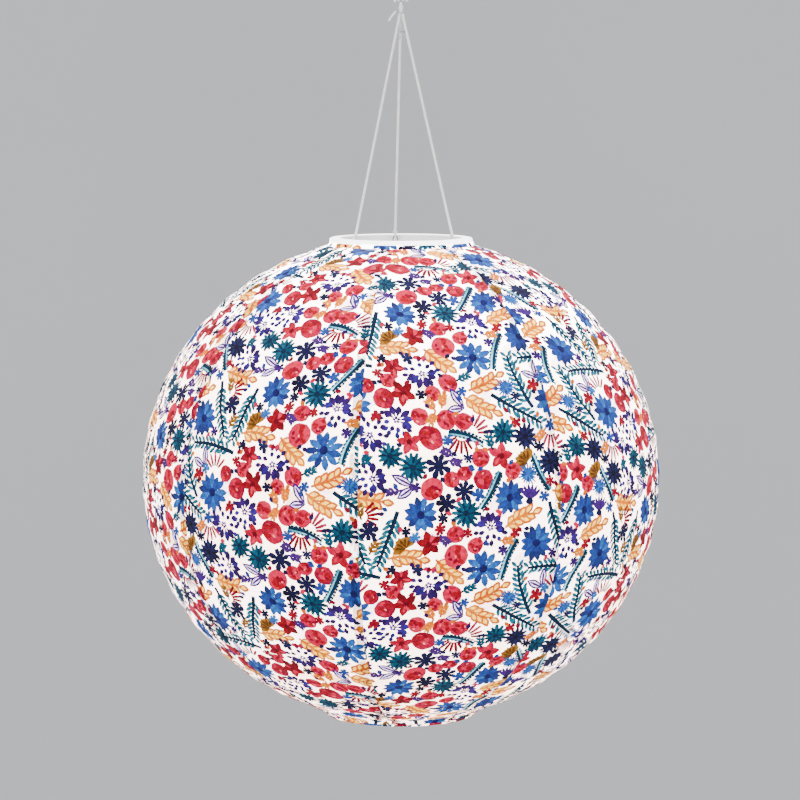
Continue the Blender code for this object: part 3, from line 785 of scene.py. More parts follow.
def burst(m, rng):
    """Full petals on one side and a ring of loose dashes on the other."""
    radius = rng.uniform(7.6, 8.8)
    inks = [("violet", "violet_dark"), ("violet_blue", "violet_dark"), ("violet", "violet_blue"),
            ("violet_dark", "violet_dark")]
    petals = int(rng.integers(6, 8))
    for i in range(petals):
        a = math.pi * (1.05 + 0.90 * i / (petals - 1)) + rng.uniform(-0.08, 0.08)
        first, last = pick(rng, inks)
        m.add(teardrop(unit(a) * 1.5, a, radius * rng.uniform(0.66, 0.86), 2.9, ROUND_TIP, 1.5), first, last,
              unit(a) * 1.5, unit(a) * radius)
    for ring, count, long in ((0.44, 5, 2.9), (0.78, 7, 3.4)):
        for i in range(count):
            a = math.pi * (0.02 + 0.96 * i / (count - 1)) + rng.uniform(-0.09, 0.09)
            first, last = pick(rng, inks)
            at = unit(a) * radius * ring
            dash = teardrop(at, a + rng.uniform(-0.2, 0.2), long * rng.uniform(0.8, 1.15), 2.0, belly=1.1)
            m.add(dash, first, last, at, at + unit(a) * 2)
    for i in range(5):
        a = TAU * i / 5 + 0.3
        m.add(blob(unit(a) * 1.15, 0.62, 0.5, a, rng, 6), "violet", "lilac")
    m.disc(0, 0, radius)


def wheat(m, rng):
    """An outlined sprig: pairs of leaves drawn as loops, with a pale wash inside."""
    long = rng.uniform(19.0, 24.0)
    bend = rng.uniform(-2.0, 2.0)
    pairs = 4
    line = bowed_line(long * 0.80, bend, 7)
    first, last = pick(rng, [("orange", "orange_deep"), ("orange_deep", "orange"),
                             ("orange_deep", "orange_deep"), ("orange", "orange_deep")])
    span = ((0, 0), (long, 0))
    for i in range(pairs + 1):
        t = (i + 0.35) / (pairs + 0.9)
        at = bowed(long * 0.80, bend, t)
        for side in ((-1, 1) if i < pairs else (0,)):
            a = side * rng.uniform(0.52, 0.70)
            size = rng.uniform(6.6, 7.8) * (1.0 - 0.16 * abs(t - 0.4))
            m.add(teardrop(at, a, size, 3.9, belly=1.25), first, last, *span)
            m.add(teardrop(at + unit(a) * size * 0.15, a, size * 0.66, 2.0, belly=1.2), "orange_wash",
                  "yellow_wash", *span)
    m.add(stroke(line, (0.9, 0.9, 0.85, 0.8, 0.75, 0.7, 0.5)), first, last, *span)
    m.discs_along(long, bend, (0.15, 0.42, 0.68, 0.92), 3.9)


def fern(m, rng):
    long = rng.uniform(24.0, 32.0)
    bend = rng.uniform(-3.4, 3.4)
    line = bowed_line(long, bend, 10)
    dark, light = pick(rng, [("teal_deep", "teal"), ("teal_dark", "teal_light"), ("teal_deep", "teal_light")])
    leaves = int(long / 2.9)
    for i in range(leaves):
        t = (i + 1.2) / (leaves + 0.6)
        at = bowed(long, bend, t)
        slope = math.atan2(bend * math.pi * math.cos(math.pi * t), long)
        size = 5.9 * (1.0 - 0.55 * abs(t - 0.35)) * rng.uniform(0.85, 1.12)
        for side in (-1, 1):
            a = slope + side * rng.uniform(0.62, 0.82)
            ink = (dark, light) if rng.random() < 0.55 else (light, dark)
            start = at + unit(a) * 0.75
            m.add(teardrop(start, a, size, 1.6, belly=1.15), *ink, start, start + unit(a) * size)
    widths = np.linspace(1.8, 1.0, 10)
    m.add(stroke(line, widths), "teal_deep", dark, (0, 0), (long, 0))
    m.discs_along(long, bend, np.linspace(0.06, 0.96, 6), 3.9)


def dashed_stem(m, rng):
    """A dark line beside a pale wash, edged with small dashes."""
    long = rng.uniform(16.0, 24.0)
    bend = rng.uniform(-2.6, 2.6)
    line = bowed_line(long, bend, 9)
    m.add(stroke(line + (0.0, -0.85), np.linspace(2.0, 1.5, 9)), "teal_light", "teal_wash", (0, 0), (long, 0))
    m.add(stroke(line + (0.0, 0.25), np.linspace(1.5, 1.05, 9)), "teal_deep", "teal_dark", (0, 0), (long, 0))
    for i in range(int(long / 1.9)):
        t = (i + 0.5) / int(long / 1.9)
        at = bowed(long, bend, t)
        for side in (-1.9, 1.5):
            m.add(teardrop(at + (0.0, side), rng.uniform(-0.25, 0.25), 1.7, 0.85, (0, 0.35, 0.75, 1.0), 1.0),
                  "teal", "teal_dark")
    m.discs_along(long, bend, np.linspace(0.06, 0.94, 5), 2.3)


def fan(m, rng):
    strokes = int(rng.integers(5, 7))
    reach = rng.uniform(9.4, 11.6)
    ink, tip = pick(rng, [("crimson", "pink_line"), ("pink_line", "rose"), ("red", "red_dark")])
    spread = rng.uniform(1.3, 1.7)
    for i in range(strokes):
        a = spread * (i / (strokes - 1) - 0.5)
        start, end = unit(a) * reach * 0.36, unit(a) * reach * rng.uniform(0.86, 1.05)
        m.add(stroke([start, (start + end) / 2, end], (0.80, 1.20, 0.95)), ink, tip, start, end)
    m.disc(reach * 0.42, 0, reach * 0.30)
    m.disc(reach * 0.80, -reach * 0.24, reach * 0.26)
    m.disc(reach * 0.80, reach * 0.24, reach * 0.26)


def dashes(m, rng):
    inks = pick(rng, [("brown_dark", "brown", "ochre"), ("ochre", "yellow", "brown"),
                      ("brown", "ochre", "brown_dark")])
    for row in range(3):
        for column in range(4):
            if rng.random() < 0.12:
                continue
            at = np.array((column * 2.5 - 4.2 + row * 0.5, row * 3.0 - 3.2)) + rng.uniform(-0.35, 0.35, 2)
            m.add(teardrop(at, 1.25 + rng.uniform(-0.25, 0.25), rng.uniform(2.4, 3.4), 1.75, belly=1.0),
                  pick(rng, inks))
    m.disc(-1.6, 0, 3.9)
    m.disc(1.9, 0, 3.9)


def brown_flower(m, rng):
    radius = rng.uniform(6.6, 8.0)
    for i in range(9):
        a = math.pi * (0.08 + 0.84 * i / 8)
        m.add(teardrop((0, 0), a, radius * rng.uniform(0.86, 1.04), 2.9, belly=1.6),
              ("ochre", "brown", "brown_dark")[i % 3], "ochre", (0, 0), unit(a) * radius)
    for i in range(5):
        a = math.pi * (0.18 + 0.64 * i / 4)
        m.add(teardrop(unit(a) * 1.2, a, radius * 0.6, 0.8), "brown_dark", "brown")
    m.disc(0, radius * 0.5, radius * 0.66)


def bud(m, rng):
    """Two outlined purple leaves that meet at a point."""
    for a, long in ((0.25, rng.uniform(10.5, 13.0)), (1.35, rng.uniform(8.5, 10.5))):
        way = unit(a)
        outer = teardrop((0, 0), a, long, 4.4, (0, 0.16, 0.34, 0.54, 0.76, 1.0), 1.1)
        inner = teardrop(way * 0.9, a, long * 0.80, 2.9, (0, 0.2, 0.42, 0.66, 0.85, 1.0), 1.1)
        m.add(outer, "purple", "violet", (0, 0), way * long)
        m.add(inner, "purple_pale", "lilac_wash", (0, 0), way * long)
        m.add(stroke([way * 1.4, way * long * 0.5, way * long * 0.78], (0.6, 0.75, 0.4)), "violet", "purple")
        m.disc(*(way * long * 0.30), 2.0)
        m.disc(*(way * long * 0.66), 2.3)


def bell(m, rng):
    for i in range(6):
        a = math.pi * (0.24 + 0.52 * i / 5)
        m.add(teardrop((0, 0), a, 8.2, 1.6, belly=1.2), ("violet_blue", "lilac", "blue")[i % 3], "violet")
    m.add(blob((0, -0.6), 2.0, 1.5, 0.0, rng, 9), "navy")
    m.disc(0, 4.0, 4.0)
    m.disc(0, 0, 2.0)


def small_blossom(m, rng):
    radius = rng.uniform(2.6, 3.6)
    first, last = pick(rng, [("navy", "navy_soft"), ("sky", "blue_mid"), ("violet", "violet_dark"),
                             ("red", "crimson"), ("blue_mid", "blue"), ("navy", "ink_black")])
    m.add(lobed(radius, int(rng.integers(5, 8)), 0.45, 0.85, rng, 0.14), first, last, (-2, 0), (2, 0))
    m.disc(0, 0, radius)


def small_sprig(m, rng):
    long = rng.uniform(6.5, 9.5)
    ink, tip = pick(rng, [("teal_dark", "teal"), ("orange_deep", "orange"), ("teal_deep", "teal_light"),
                          ("brown", "ochre"), ("violet", "purple")])
    for i in range(3):
        at = np.array((long * (0.15 + 0.25 * i), 0.0))
        for side in (-1, 1):
            a = side * rng.uniform(0.6, 0.8)
            m.add(teardrop(at, a, 3.4, 1.3, belly=1.1), ink, tip, at, at + unit(a) * 3)
    m.add(stroke([(0, 0), (long * 0.5, 0.4), (long, 0)], (0.8, 0.8, 0.5)), ink, tip, (0, 0), (long, 0))
    m.disc(long * 0.3, 0, 2.3)
    m.disc(long * 0.75, 0, 2.1)


def berry(m, rng):
    ink = pick(rng, ("navy", "crimson", "blue", "orange_deep", "violet_dark", "pink_red", "navy"))
    m.add(teardrop((-1.5, 0), 0, 3.0, 1.9, belly=1.2), ink)
    m.disc(0, 0, 1.2)


def wash(m, rng):
    """A pale stain of colour under the other shapes."""
    ink = pick(rng, ("lilac_wash", "blue_wash", "pink_wash", "yellow_wash", "pink_wash", "orange_wash"))
    m.add(blob((0, 0), rng.uniform(4.5, 8.5), rng.uniform(3.5, 6.0), rng.uniform(0, 3), rng, 16, 0.2), ink,
          cover=0.55)


WASHES = 12
TRIES = 1400   # random places tried for each motif; the tightest that is free is taken


def place_all(rng):
    """The tile: (x, y, turn, motif) in the order that they are painted. It repeats both ways."""
    placed, taken = [], np.zeros((0, 3))
    for _ in range(WASHES):
        placed.append((*(rng.random(2) * TILE), rng.uniform(0, TAU), Motif(wash, rng)))
    plan = [(fern, 5), (wheat, 6), (daisy, 5), (burst, 5), (many_petal, 6), (bloom_pair, 8), (dashed_stem, 4),
            (brown_flower, 2), (bud, 3), (star, 5), (bell, 1), (fan, 5), (navy_blossom, 10), (shaggy, 6),
            (dashes, 4), (bloom, 6), (dashed_stem, 2), (fan, 3), (navy_blossom, 12), (shaggy, 5), (bloom, 6),
            (small_sprig, 14), (small_blossom, 40), (berry, 60)]
    for draw, count in plan:
        for _ in range(count):
            motif = Motif(draw, rng)
            discs = np.array(motif.discs)
            at = rng.random((TRIES, 2)) * TILE
            turn = rng.uniform(0, TAU, TRIES)
            c, s = np.cos(turn)[:, None], np.sin(turn)[:, None]
            x = at[:, :1] + discs[:, 0] * c - discs[:, 1] * s
            y = at[:, 1:] + discs[:, 0] * s + discs[:, 1] * c
            here = np.stack([x, y], axis=2)
            if len(taken):
                away = here[:, :, None, :] - taken[None, None, :, :2]
                away -= np.round(away / TILE) * TILE
                gap = np.linalg.norm(away, axis=3) - discs[None, :, 2, None] - taken[None, None, :, 2]
                clear = gap.min(axis=(1, 2))
            else:
                clear = rng.random(TRIES)
            fits = clear > -OVERLAP
            if not fits.any():
                continue
            best = int(np.where(fits, clear, np.inf).argmin())
            placed.append((*at[best], turn[best], motif))
            taken = np.concatenate([taken, np.column_stack([here[best], discs[:, 2]])])
    return placed


def painted_tile():
    """Per motif in the tile: its place, its reach, and its shapes turned into the tile's own axes."""
    made = []
    for x, y, turn, motif in place_all(np.random.default_rng(PRINT_SEED)):
        shapes, reach = [], 0.0
        for points, first, last, start, end, cover in motif.shapes:
            points, start, end = (turned_round(p, turn) for p in (points, start, end))
            reach = max(reach, float(np.linalg.norm(points, axis=1).max()))
            shapes.append((points, first, last, start, end, cover))
        made.append((np.array((x, y)), reach, shapes))
    return made


TILE_MOTIFS = painted_tile()


def stamp(offset, low, high, keep):
    """The tile's shapes, repeated over the box from low to high where keep(centre, reach) holds."""
    found = []
    for at, reach, shapes in TILE_MOTIFS:
        base = at + offset
        first = np.ceil((low - reach - base) / TILE).astype(int)
        last = np.floor((high + reach - base) / TILE).astype(int)
        for i in range(first[0], last[0] + 1):
            for j in range(first[1], last[1] + 1):
                centre = base + TILE * (i, j)
                if keep(centre, reach):
                    found.append((centre, shapes))
    return found


# ---- the shade's shape
NECK_ANGLE = math.acos(NECK_R / GLOBE_A)
RIB_TOP = NECK_ANGLE - RIB_MARGIN
SCALLOP = 0.65 * MM
SCALLOP_EASE = 8.0       # millimetres from an opening over which the scallops fade in
SEAM_DIP = 0.55 * MM
SEAM_PUCKER = 0.11 * MM
SEAM_LAP = 0.5           # millimetres that a gore runs on past its seam line
BAND = 5.0               # millimetres of turned-in cloth that show beside a seam
UNDER_COVER = 0.5        # how much the turned-in cloth's print shows through bare cloth
UNDER_SHADE = 0.45       # and how much the turned-in cloth's print darkens the print over it: painted shade, where it holds back the light
SEAM_POINTS = (0.0, 0.5, 1.3, 2.8, 4.9)   # millimetres in from the seam, for extra points along it
LED_REACH = 0.115        # metres from the LED to cloth that it lights with strength 1

angle_table = np.linspace(-NECK_ANGLE, NECK_ANGLE, 4001)
run_table = np.concatenate([[0.0], np.cumsum(np.hypot(
    np.diff(GLOBE_A * np.cos(angle_table)), np.diff(GLOBE_B * np.sin(angle_table))))]) / MM
GORE_LENGTH = float(run_table[-1])


def half_width(v):
    """Half a gore's width in millimetres, at a height up the cloth."""
    return GLOBE_A / MM * np.cos(np.interp(v, run_table, angle_table)) * math.pi / GORES


def on_globe(angle, azimuth, out):
    """Points of the globe, moved out along its normal."""
    nx, nz = GLOBE_B * np.cos(angle), GLOBE_A * np.sin(angle)
    size = np.hypot(nx, nz)
    r = GLOBE_A * np.cos(angle) + out * nx / size
    z = GLOBE_Z + GLOBE_B * np.sin(angle) + out * nz / size
    return np.stack([r * np.cos(azimuth), r * np.sin(azimuth), z], axis=-1)


def rib_phase(angle, azimuth):
    """Whole numbers on the rib's helix."""
    return (1.0 - angle / RIB_TOP) / 2 * RIB_TURNS - (azimuth - SEAM_AZIMUTH) / TAU


def glow_at(points):
    """How brightly the LED and the light scattered inside the shade fill the cloth, about 1: a painted pool
    of light, which the cloth's material shows as emission.
    """
    away = points - np.array(LED_AT)
    far = np.linalg.norm(away, axis=1)
    facing = np.linalg.norm(points * (1, 1, 0), axis=1)
    lean = facing / np.maximum(far, 1e-6)
    direct = (LED_REACH / far) ** 2 * np.clip(0.35 + 0.65 * lean, 0.0, 1.0)
    return 0.70 + 0.42 * np.clip(direct, 0.0, 1.4)


def cut_cloth(outline, doubled, layers, height, loose, hidden=lambda layer, shape: False):
    """The flat cloth triangulated round its outline, its doubled part, its print and loose points.

    It gives the points, the triangles, the faces that each triangle lies in, and the ink of each of those
    faces: its layer, two colours, the line that they run along, and its cover.
    """
    points = [outline, doubled]
    inks = [(0, (0,) * 3, (0,) * 3, (0, 0), (0, 1), 0.0)] * 2
    for layer, centre, shapes in layers:
        for shape, first, last, start, end, cover in shapes:
            placed = shape + centre
            if placed[:, 1].max() < 0 or placed[:, 1].min() > height or hidden(layer, placed):
                continue
            points.append(placed)
            inks.append((layer, first, last, start + centre, end + centre, cover))
    ends = np.cumsum([0] + [len(p) for p in points]).tolist()
    faces = [list(range(a, b)) for a, b in zip(ends, ends[1:])]
    flat = [Vector(p) for p in np.concatenate([*points, loose])]
    made = delaunay_2d_cdt(flat, [], faces, 1, 1e-4, True)
    return np.array([tuple(p) for p in made[0]]), made[2], made[5], inks


def gore(number, offsets):
    start_azimuth = SEAM_AZIMUTH + (number - 1) * TAU / GORES
    middle = start_azimuth + math.pi / GORES
    rng = np.random.default_rng(PRINT_SEED + number)

    rows = np.linspace(0.0, GORE_LENGTH, 190)
    edge = half_width(rows) + SEAM_LAP
    outline = np.concatenate([np.stack([-edge, rows], 1)[::-1], np.stack([edge, rows], 1)])
    inner = half_width(rows) - BAND
    band = np.concatenate([np.stack([edge, rows], 1), np.stack([inner, rows], 1)[::-1]])

    widest = float(edge.max())
    low, high = np.array((-widest, 0.0)), np.array((widest, GORE_LENGTH))

    def on_gore(centre, reach):
        return abs(centre[0]) - half_width(centre[1]) < reach

    def on_band(centre, reach):
        wide = half_width(centre[1])
        return -wide - BAND - reach < centre[0] < -wide + reach

    layers = [(0, *found) for found in stamp(offsets[number - 1], low, high, on_gore)]
    neighbour = offsets[number % GORES]
    for centre, shapes in stamp(neighbour, low - (BAND, 0), high, on_band):
        layers.append((1, centre + (2.0 * half_width(centre[1]), 0.0), shapes))

    grid = []
    for v in np.arange(2.0, GORE_LENGTH - 1.0, 3.6):
        wide = half_width(v)
        for u in np.arange(-wide + 5.5, wide - 5.0, 3.8):
            grid.append((u + rng.uniform(-0.3, 0.3), v + rng.uniform(-0.3, 0.3)))
    for v in np.arange(1.0, GORE_LENGTH - 0.5, 1.5):
        wide = half_width(v)
        for d in SEAM_POINTS:
            grid += [(-wide + d, v), (wide - d, v)]

    def beyond_band(layer, shape):
        return layer and shape[:, 0].max() < half_width(shape[:, 1].mean()) - BAND

    cut = cut_cloth(outline, band, layers, GORE_LENGTH, np.array(grid), beyond_band)
    shift = rng.uniform(0, TAU)

    def lay(u, v):
        angle = np.interp(v, run_table, angle_table)
        azimuth = middle + u / (GLOBE_A / MM * np.cos(angle))
        phase = rib_phase(angle, azimuth)
        inside = half_width(v) - np.abs(u)
        from_end = GORE_LENGTH / 2 - np.abs(v - GORE_LENGTH / 2)
        sag = -SCALLOP * (0.5 - 0.5 * np.cos(TAU * phase)) * np.clip(from_end / SCALLOP_EASE, 0, 1)
        dip = SEAM_DIP * np.exp(-np.maximum(inside, 0.0) / 0.8) + np.maximum(-inside, 0.0) * 0.9 * MM
        pucker = np.exp(-np.maximum(inside, 0.0) / 3.5) * np.sin(TAU * v / 4.7 + shift + np.sin(v / 9.0))
        return on_globe(angle, azimuth, sag - dip + SEAM_PUCKER * pucker), phase, inside, 1.0

    return assemble_cloth(f"gore_{number}", cut, lay, rng)


def assemble_cloth(name, cut, lay, rng):
    """The flat, cut cloth as a mesh: lay() gives its points' places, where each is on the rib's
    helix, how far it is from a sewn edge in millimetres, and its share of the light."""
    flat, triangles, sources, inks = cut
    layer_of, first, last, start, end, cover = (np.array(values, float) for values in zip(*inks))
    keep = [i for i, faces in enumerate(sources) if 0 in faces]
    doubled = np.array([1 in sources[i] for i in keep])
    top = np.zeros((2, len(keep)), int)   # the last painted face over each triangle, in either layer
    for row, i in enumerate(keep):
        for face in sources[i]:
            if face > 1:
                layer = int(layer_of[face])
                top[layer, row] = max(face, top[layer, row])
    top[1, ~doubled] = 0
    along = end - start
    along /= np.maximum((along ** 2).sum(1), 1e-6)[:, None]
    triangles = np.array(triangles)[keep]
    corners = flat[triangles]

    def inked(which):
        t = np.clip(((corners - start[which][:, None]) * along[which][:, None]).sum(2), 0.0, 1.0)[..., None]
        return first[which][:, None] * (1 - t) + last[which][:, None] * t, cover[which][:, None].repeat(3, 1)

    colour, amount = inked(top[0])
    under, under_amount = inked(top[1])
    ghost = (top[1] > 0)[:, None]
    through = np.where(ghost, UNDER_COVER * under_amount, 0.0)
    bare = amount < 0.5
    amount = np.where(bare, np.maximum(amount, through), amount)
    # painted shade: the print over the turned-in cloth's print is darkened
    colour = np.where((bare & ghost)[..., None], under, colour * (1.0 - UNDER_SHADE * through[..., None]))

    placed, phase, edge, light = lay(flat[:, 0], flat[:, 1])
    mesh = bpy.data.meshes.new(name)
    mesh.from_pydata(placed.tolist(), [], triangles.tolist())
    flat_place = np.stack([flat[:, 0] + 200.0 * rng.uniform(1, 9), flat[:, 1], phase], axis=1)
    for label, kind, domain, key, values in (
            ("print", "FLOAT_COLOR", "CORNER", "color", np.concatenate([colour, amount[..., None]], axis=2)),
            ("cloth", "FLOAT_VECTOR", "POINT", "vector", flat_place),
            ("glow", "FLOAT", "POINT", "value", glow_at(placed) * light),
            ("edge", "FLOAT", "POINT", "value", edge + np.zeros(len(flat))),
            ("double", "FLOAT", "CORNER", "value", np.repeat(doubled, 3))):
        mesh.attributes.new(label, kind, domain).data.foreach_set(key, values.astype(np.float32).ravel())
    mesh.shade_smooth()
    return link(bpy.data.objects.new(name, mesh))


# ---- the cloth's material
LIT = 8.2   # radiance that the emission colours are a share of
STITCH_FROM_SEAM = 1.9   # millimetres, as are the width and step of a stitch
STITCH_WIDTH = 0.42
STITCH_STEP = 2.9
STITCH_ABOVE = 0.68      # share of a stitch's step that lies on top of the cloth
THREAD_TURNS = 17.0      # radians of the weave's wave in a millimetre


def cloth_material():
    """Thin woven polyester with the light from inside painted on as emission: the ground glows, and ink holds
    the light back.
    """
    g = Graph("printed_cloth", Roughness=0.86, Specular_IOR_Level=0.12, Sheen_Weight=0.06,
              Sheen_Roughness=0.45, Emission_Strength=LIT)
    paint = g.attribute("print")
    cloth = g.attribute("cloth").outputs["Vector"]
    glow = g.attribute("glow").outputs["Fac"]
    double = g.attribute("double").outputs["Fac"]
    u, v, phase = g.split(cloth)

    # pigment pools and grains
    pool = g.noise(0.55, 3.0, 0.6, cloth)
    grain = g.noise(2.6, 2.0, 0.5, cloth)
    pigment = g.product(g.remap(pool, 0.30, 0.70, 0.62, 1.55), g.remap(grain, 0.3, 0.7, 0.86, 1.16))
    ink = g.vector("SCALE", g.vector("MULTIPLY", paint.outputs["Color"], (1.0 / LIT,) * 3), pigment)

    # the ground's warmth drifts over the shade, and the ground is painted whiter where the painted glow is
    # strongest
    drift = g.noise(9.0, 2.0, 0.5)
    warm = g.mix(g.remap(drift, 0.36, 0.64, 0.0, 1.0), (1.16, 0.78, 0.60), (1.22, 0.97, 0.90))
    bright = g.remap(glow, 0.80, 1.14, 0.0, 1.0)
    ground = g.mix(bright, warm, (1.36, 1.20, 1.14))

    # threads, and painted shade on the glow: the wire that shows through as a thin shadow, the doubled cloth
    # at the seams and the stitches
    weave = g.product(*(g.math("SINE", g.product(along, THREAD_TURNS)) for along in (u, v)))
    near_rib = g.off(g.math("FRACT", g.math("ADD", phase, 0.5)), 0.5)
    rib_shade = g.remap(near_rib, 0.012, 0.045, 0.82, 1.0)
    doubled = g.remap(double, 0.0, 1.0, 1.0, 0.74)
    edge = g.attribute("edge").outputs["Fac"]
    run = g.math("ADD", v, u)
    thread = g.math("LESS_THAN", g.off(edge, STITCH_FROM_SEAM), STITCH_WIDTH / 2)
    above = g.math("LESS_THAN", g.math("FRACT", g.math("DIVIDE", run, STITCH_STEP)), STITCH_ABOVE)
    stitch = g.product(thread, above)
    # painted shade from the rib wire, the doubled cloth and the stitches dims the painted glow
    light = g.product(glow, rib_shade, doubled, g.remap(stitch, 0.0, 1.0, 1.0, 0.66),
                      g.remap(weave, -1.0, 1.0, 0.965, 1.035))

    # painted glow: the light shining through the cloth is given as emission, held back by the ink
    lit = g.mix(paint.outputs["Alpha"], ground, ink)
    g.set("Emission Color", g.vector("SCALE", lit, light))

    dyed = g.vector("MULTIPLY", paint.outputs["Color"], (0.14,) * 3)
    dyed = g.vector("MINIMUM", dyed, (0.80,) * 3)
    g.set("Base Color", g.mix(paint.outputs["Alpha"], (0.80, 0.77, 0.73), dyed))
    crinkle = g.noise(0.12, 3.0, 0.5, cloth)
    height = g.math("ADD", g.product(weave, 0.15), g.math("ADD", crinkle, g.product(stitch, 0.5)))
    g.bump(height, 0.25, 0.0006)
    g.material.cycles.emission_sampling = "NONE"
    return g.material


CLOTH = cloth_material()
offset_rng = np.random.default_rng(PRINT_SEED + 99)
GORE_OFFSETS = [offset_rng.random(2) * TILE for _ in range(GORES)]


def fold_with_shade(obj):
    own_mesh(obj)


# ---- the rib
def ribs():
    count = RIB_TURNS * 90
    share = np.linspace(0.0, 1.0, count + 1)
    azimuth = SEAM_AZIMUTH + share * RIB_TURNS * TAU
    centres = on_globe(RIB_TOP * (1.0 - 2.0 * share), azimuth, np.full(count + 1, -1.05 * MM))
    return sweep("rib_wire", [Vector(p) for p in centres], 0.0006, sides=6, ends=False)


RIB_METAL = metal("rib_wire", (0.72, 0.72, 0.70), 0.35)
fold_with_shade(finish_piece(ribs(), RIB_METAL, "lantern", "rib_wire", "rib_spiral"))

for gore_number in range(1, GORES + 1):
    panel = gore(gore_number, GORE_OFFSETS)
    finish_piece(panel, CLOTH, "lantern", "printed_cloth", f"shade_panel_{gore_number}")
    fold_with_shade(panel)


# ---- the hems
HEM_LAP = 7.0
HEM_GATHER = 0.13 * MM
HEM_SKIRT = [(0.0522, -0.4333), (0.0492, -0.4343), (0.0470, -0.4353), (0.0455, -0.4366), (0.0450, -0.4374)]
LOWER_HEM = [(0.0440, -0.4356), (0.0446, -0.4364), (0.0448, -0.4374), (0.0444, -0.4383), (0.0434, -0.4389),
             (0.0420, -0.4390), (0.0412, -0.4380), (0.0409, -0.4362), (0.0411, -0.4335), (0.0413, -0.4305)]
UPPER_HEM = [(0.04235, -0.1584), (0.0427, -0.1594), (0.0435, -0.1604), (0.0420, -0.1608), (0.0408, -0.1609),
             (0.0396, -0.1612), (0.0390, -0.1624), (0.0394, -0.1637), (0.0405, -0.1641), (0.0412, -0.1645)]


def hem(name, profile, body, share_of_light, rng):
    """A strip of the printed cloth turned in over a hoop, with its ends lapped at the back."""
    line = smooth_route([Vector((r, 0.0, z)) for r, z in profile], 80)
    run = np.concatenate([[0.0], np.cumsum([(q - p).length / MM for p, q in zip(line, line[1:])])])
    radii, heights = np.array([p.x for p in line]), np.array([p.z for p in line])
    radius = float(radii.max()) / MM
    width, height = TAU * radius, float(run[-1])
    across, up = np.linspace(0.0, width, 160), np.linspace(0.0, height, 14)
    outline = np.concatenate([np.stack([across, 0 * across], 1), np.stack([0 * up[1:] + width, up[1:]], 1),
                              np.stack([across[-2::-1], 0 * across[1:] + height], 1),
                              np.stack([0 * up[1:-1], up[-2:0:-1]], 1)])
    lap = np.array(((0.0, 0.0), (HEM_LAP, 0.0), (HEM_LAP, height), (0.0, height)))
    found = stamp(rng.random(2) * TILE, np.zeros(2), np.array((width, height)), lambda centre, reach: True)
    layers = [(0, *print_found) for print_found in found]
    loose = np.array([(u + rng.uniform(-0.2, 0.2), v) for v in np.arange(0.4, height, 0.8)
                      for u in np.arange(1.2, width - 0.6, 2.2)])
    cut = cut_cloth(outline, lap, layers, height, loose)

    def lay(u, v):
        azimuth = math.pi / 2 + np.clip(u, 0, width) / radius
        ease = np.sin(math.pi * np.clip(v / height, 0, 1))
        r = np.interp(v, run, radii) + HEM_GATHER * ease * np.sin(TAU * u / 4.3 + np.sin(u / 7.0))
        placed = np.stack([r * np.cos(azimuth), r * np.sin(azimuth), np.interp(v, run, heights)], axis=1)
        return placed, 0.5 + 0.0 * u, v, share_of_light

    strip = finish_piece(assemble_cloth(name, cut, lay, rng), CLOTH, body, "printed_cloth")
    return strip, (height * MM, width * MM), TAU * float(np.trapz(radii, run)) * MM


hem_rng = np.random.default_rng(PRINT_SEED + 7)
skirt = hem("hem_skirt", HEM_SKIRT, "lantern", 0.86, hem_rng)[0]
fold_with_shade(skirt)
lower_hem, lower_cut, lower_area = hem("lower_hem", LOWER_HEM, "bottom_hoop", 0.86, hem_rng)
upper_hem, upper_cut, upper_area = hem("upper_hem", UPPER_HEM, "lantern", 0.92, hem_rng)


# ---- the collar and what hangs from it
def glowing_plastic():
    """White moulded plastic, with the light in the shade shining through it painted on as emission, least on
    the recess's thick wall.
    """
    g = Graph("collar_plastic", Roughness=0.30, Emission_Strength=COLLAR_GLOW)
    x, y, _ = g.split(g.here)
    radius = g.math("SQRT", g.math("ADD", g.product(x, x), g.product(y, y)))
    outside = g.remap(radius, 0.0354, 0.0366, 0.0, 1.0)
    drift = g.remap(g.noise(45.0, 2.0), 0.3, 0.7, 0.88, 1.06)
    # painted glow: emission stands in for the light shining through the plastic
    g.set("Emission Color", g.vector("SCALE", (1.0, 0.98, 0.97), g.product(outside, drift)))
    scuff = g.noise(210.0, 4.0, 0.6)
    g.stain(scuff, 0.55, 0.72, (0.84, 0.83, 0.86), (0.74, 0.73, 0.76))
    g.bump(g.noise(3800.0, 2.0), 0.3, 0.00002)
    return g.material


COLLAR_GLOW = 5.2
COLLAR_PROFILE = [
    (0.0361, 0.0), (0.0408, 0.0), (0.0417, -0.0003), (0.0420, -0.0012), (0.0420, -0.0042), (0.0386, -0.0042),
    (0.0386, -0.0155), (0.0336, -0.0155), (0.0336, -0.0120), (0.0355, -0.0120), (0.0355, -0.0006)]
LUG_R = 0.0338
LUG_DEPTH = 0.0053
LUG_HALF_WIDTH = 0.0023
LUG_HALF_HEIGHT = 0.0017
LUG_THICK = 0.0013
LUG_HOLE = 0.0009
LUG_SQUARE = 0.45   # 1 would make the lug's outline an ellipse, and 0 a rectangle
EDGE = 0.0004


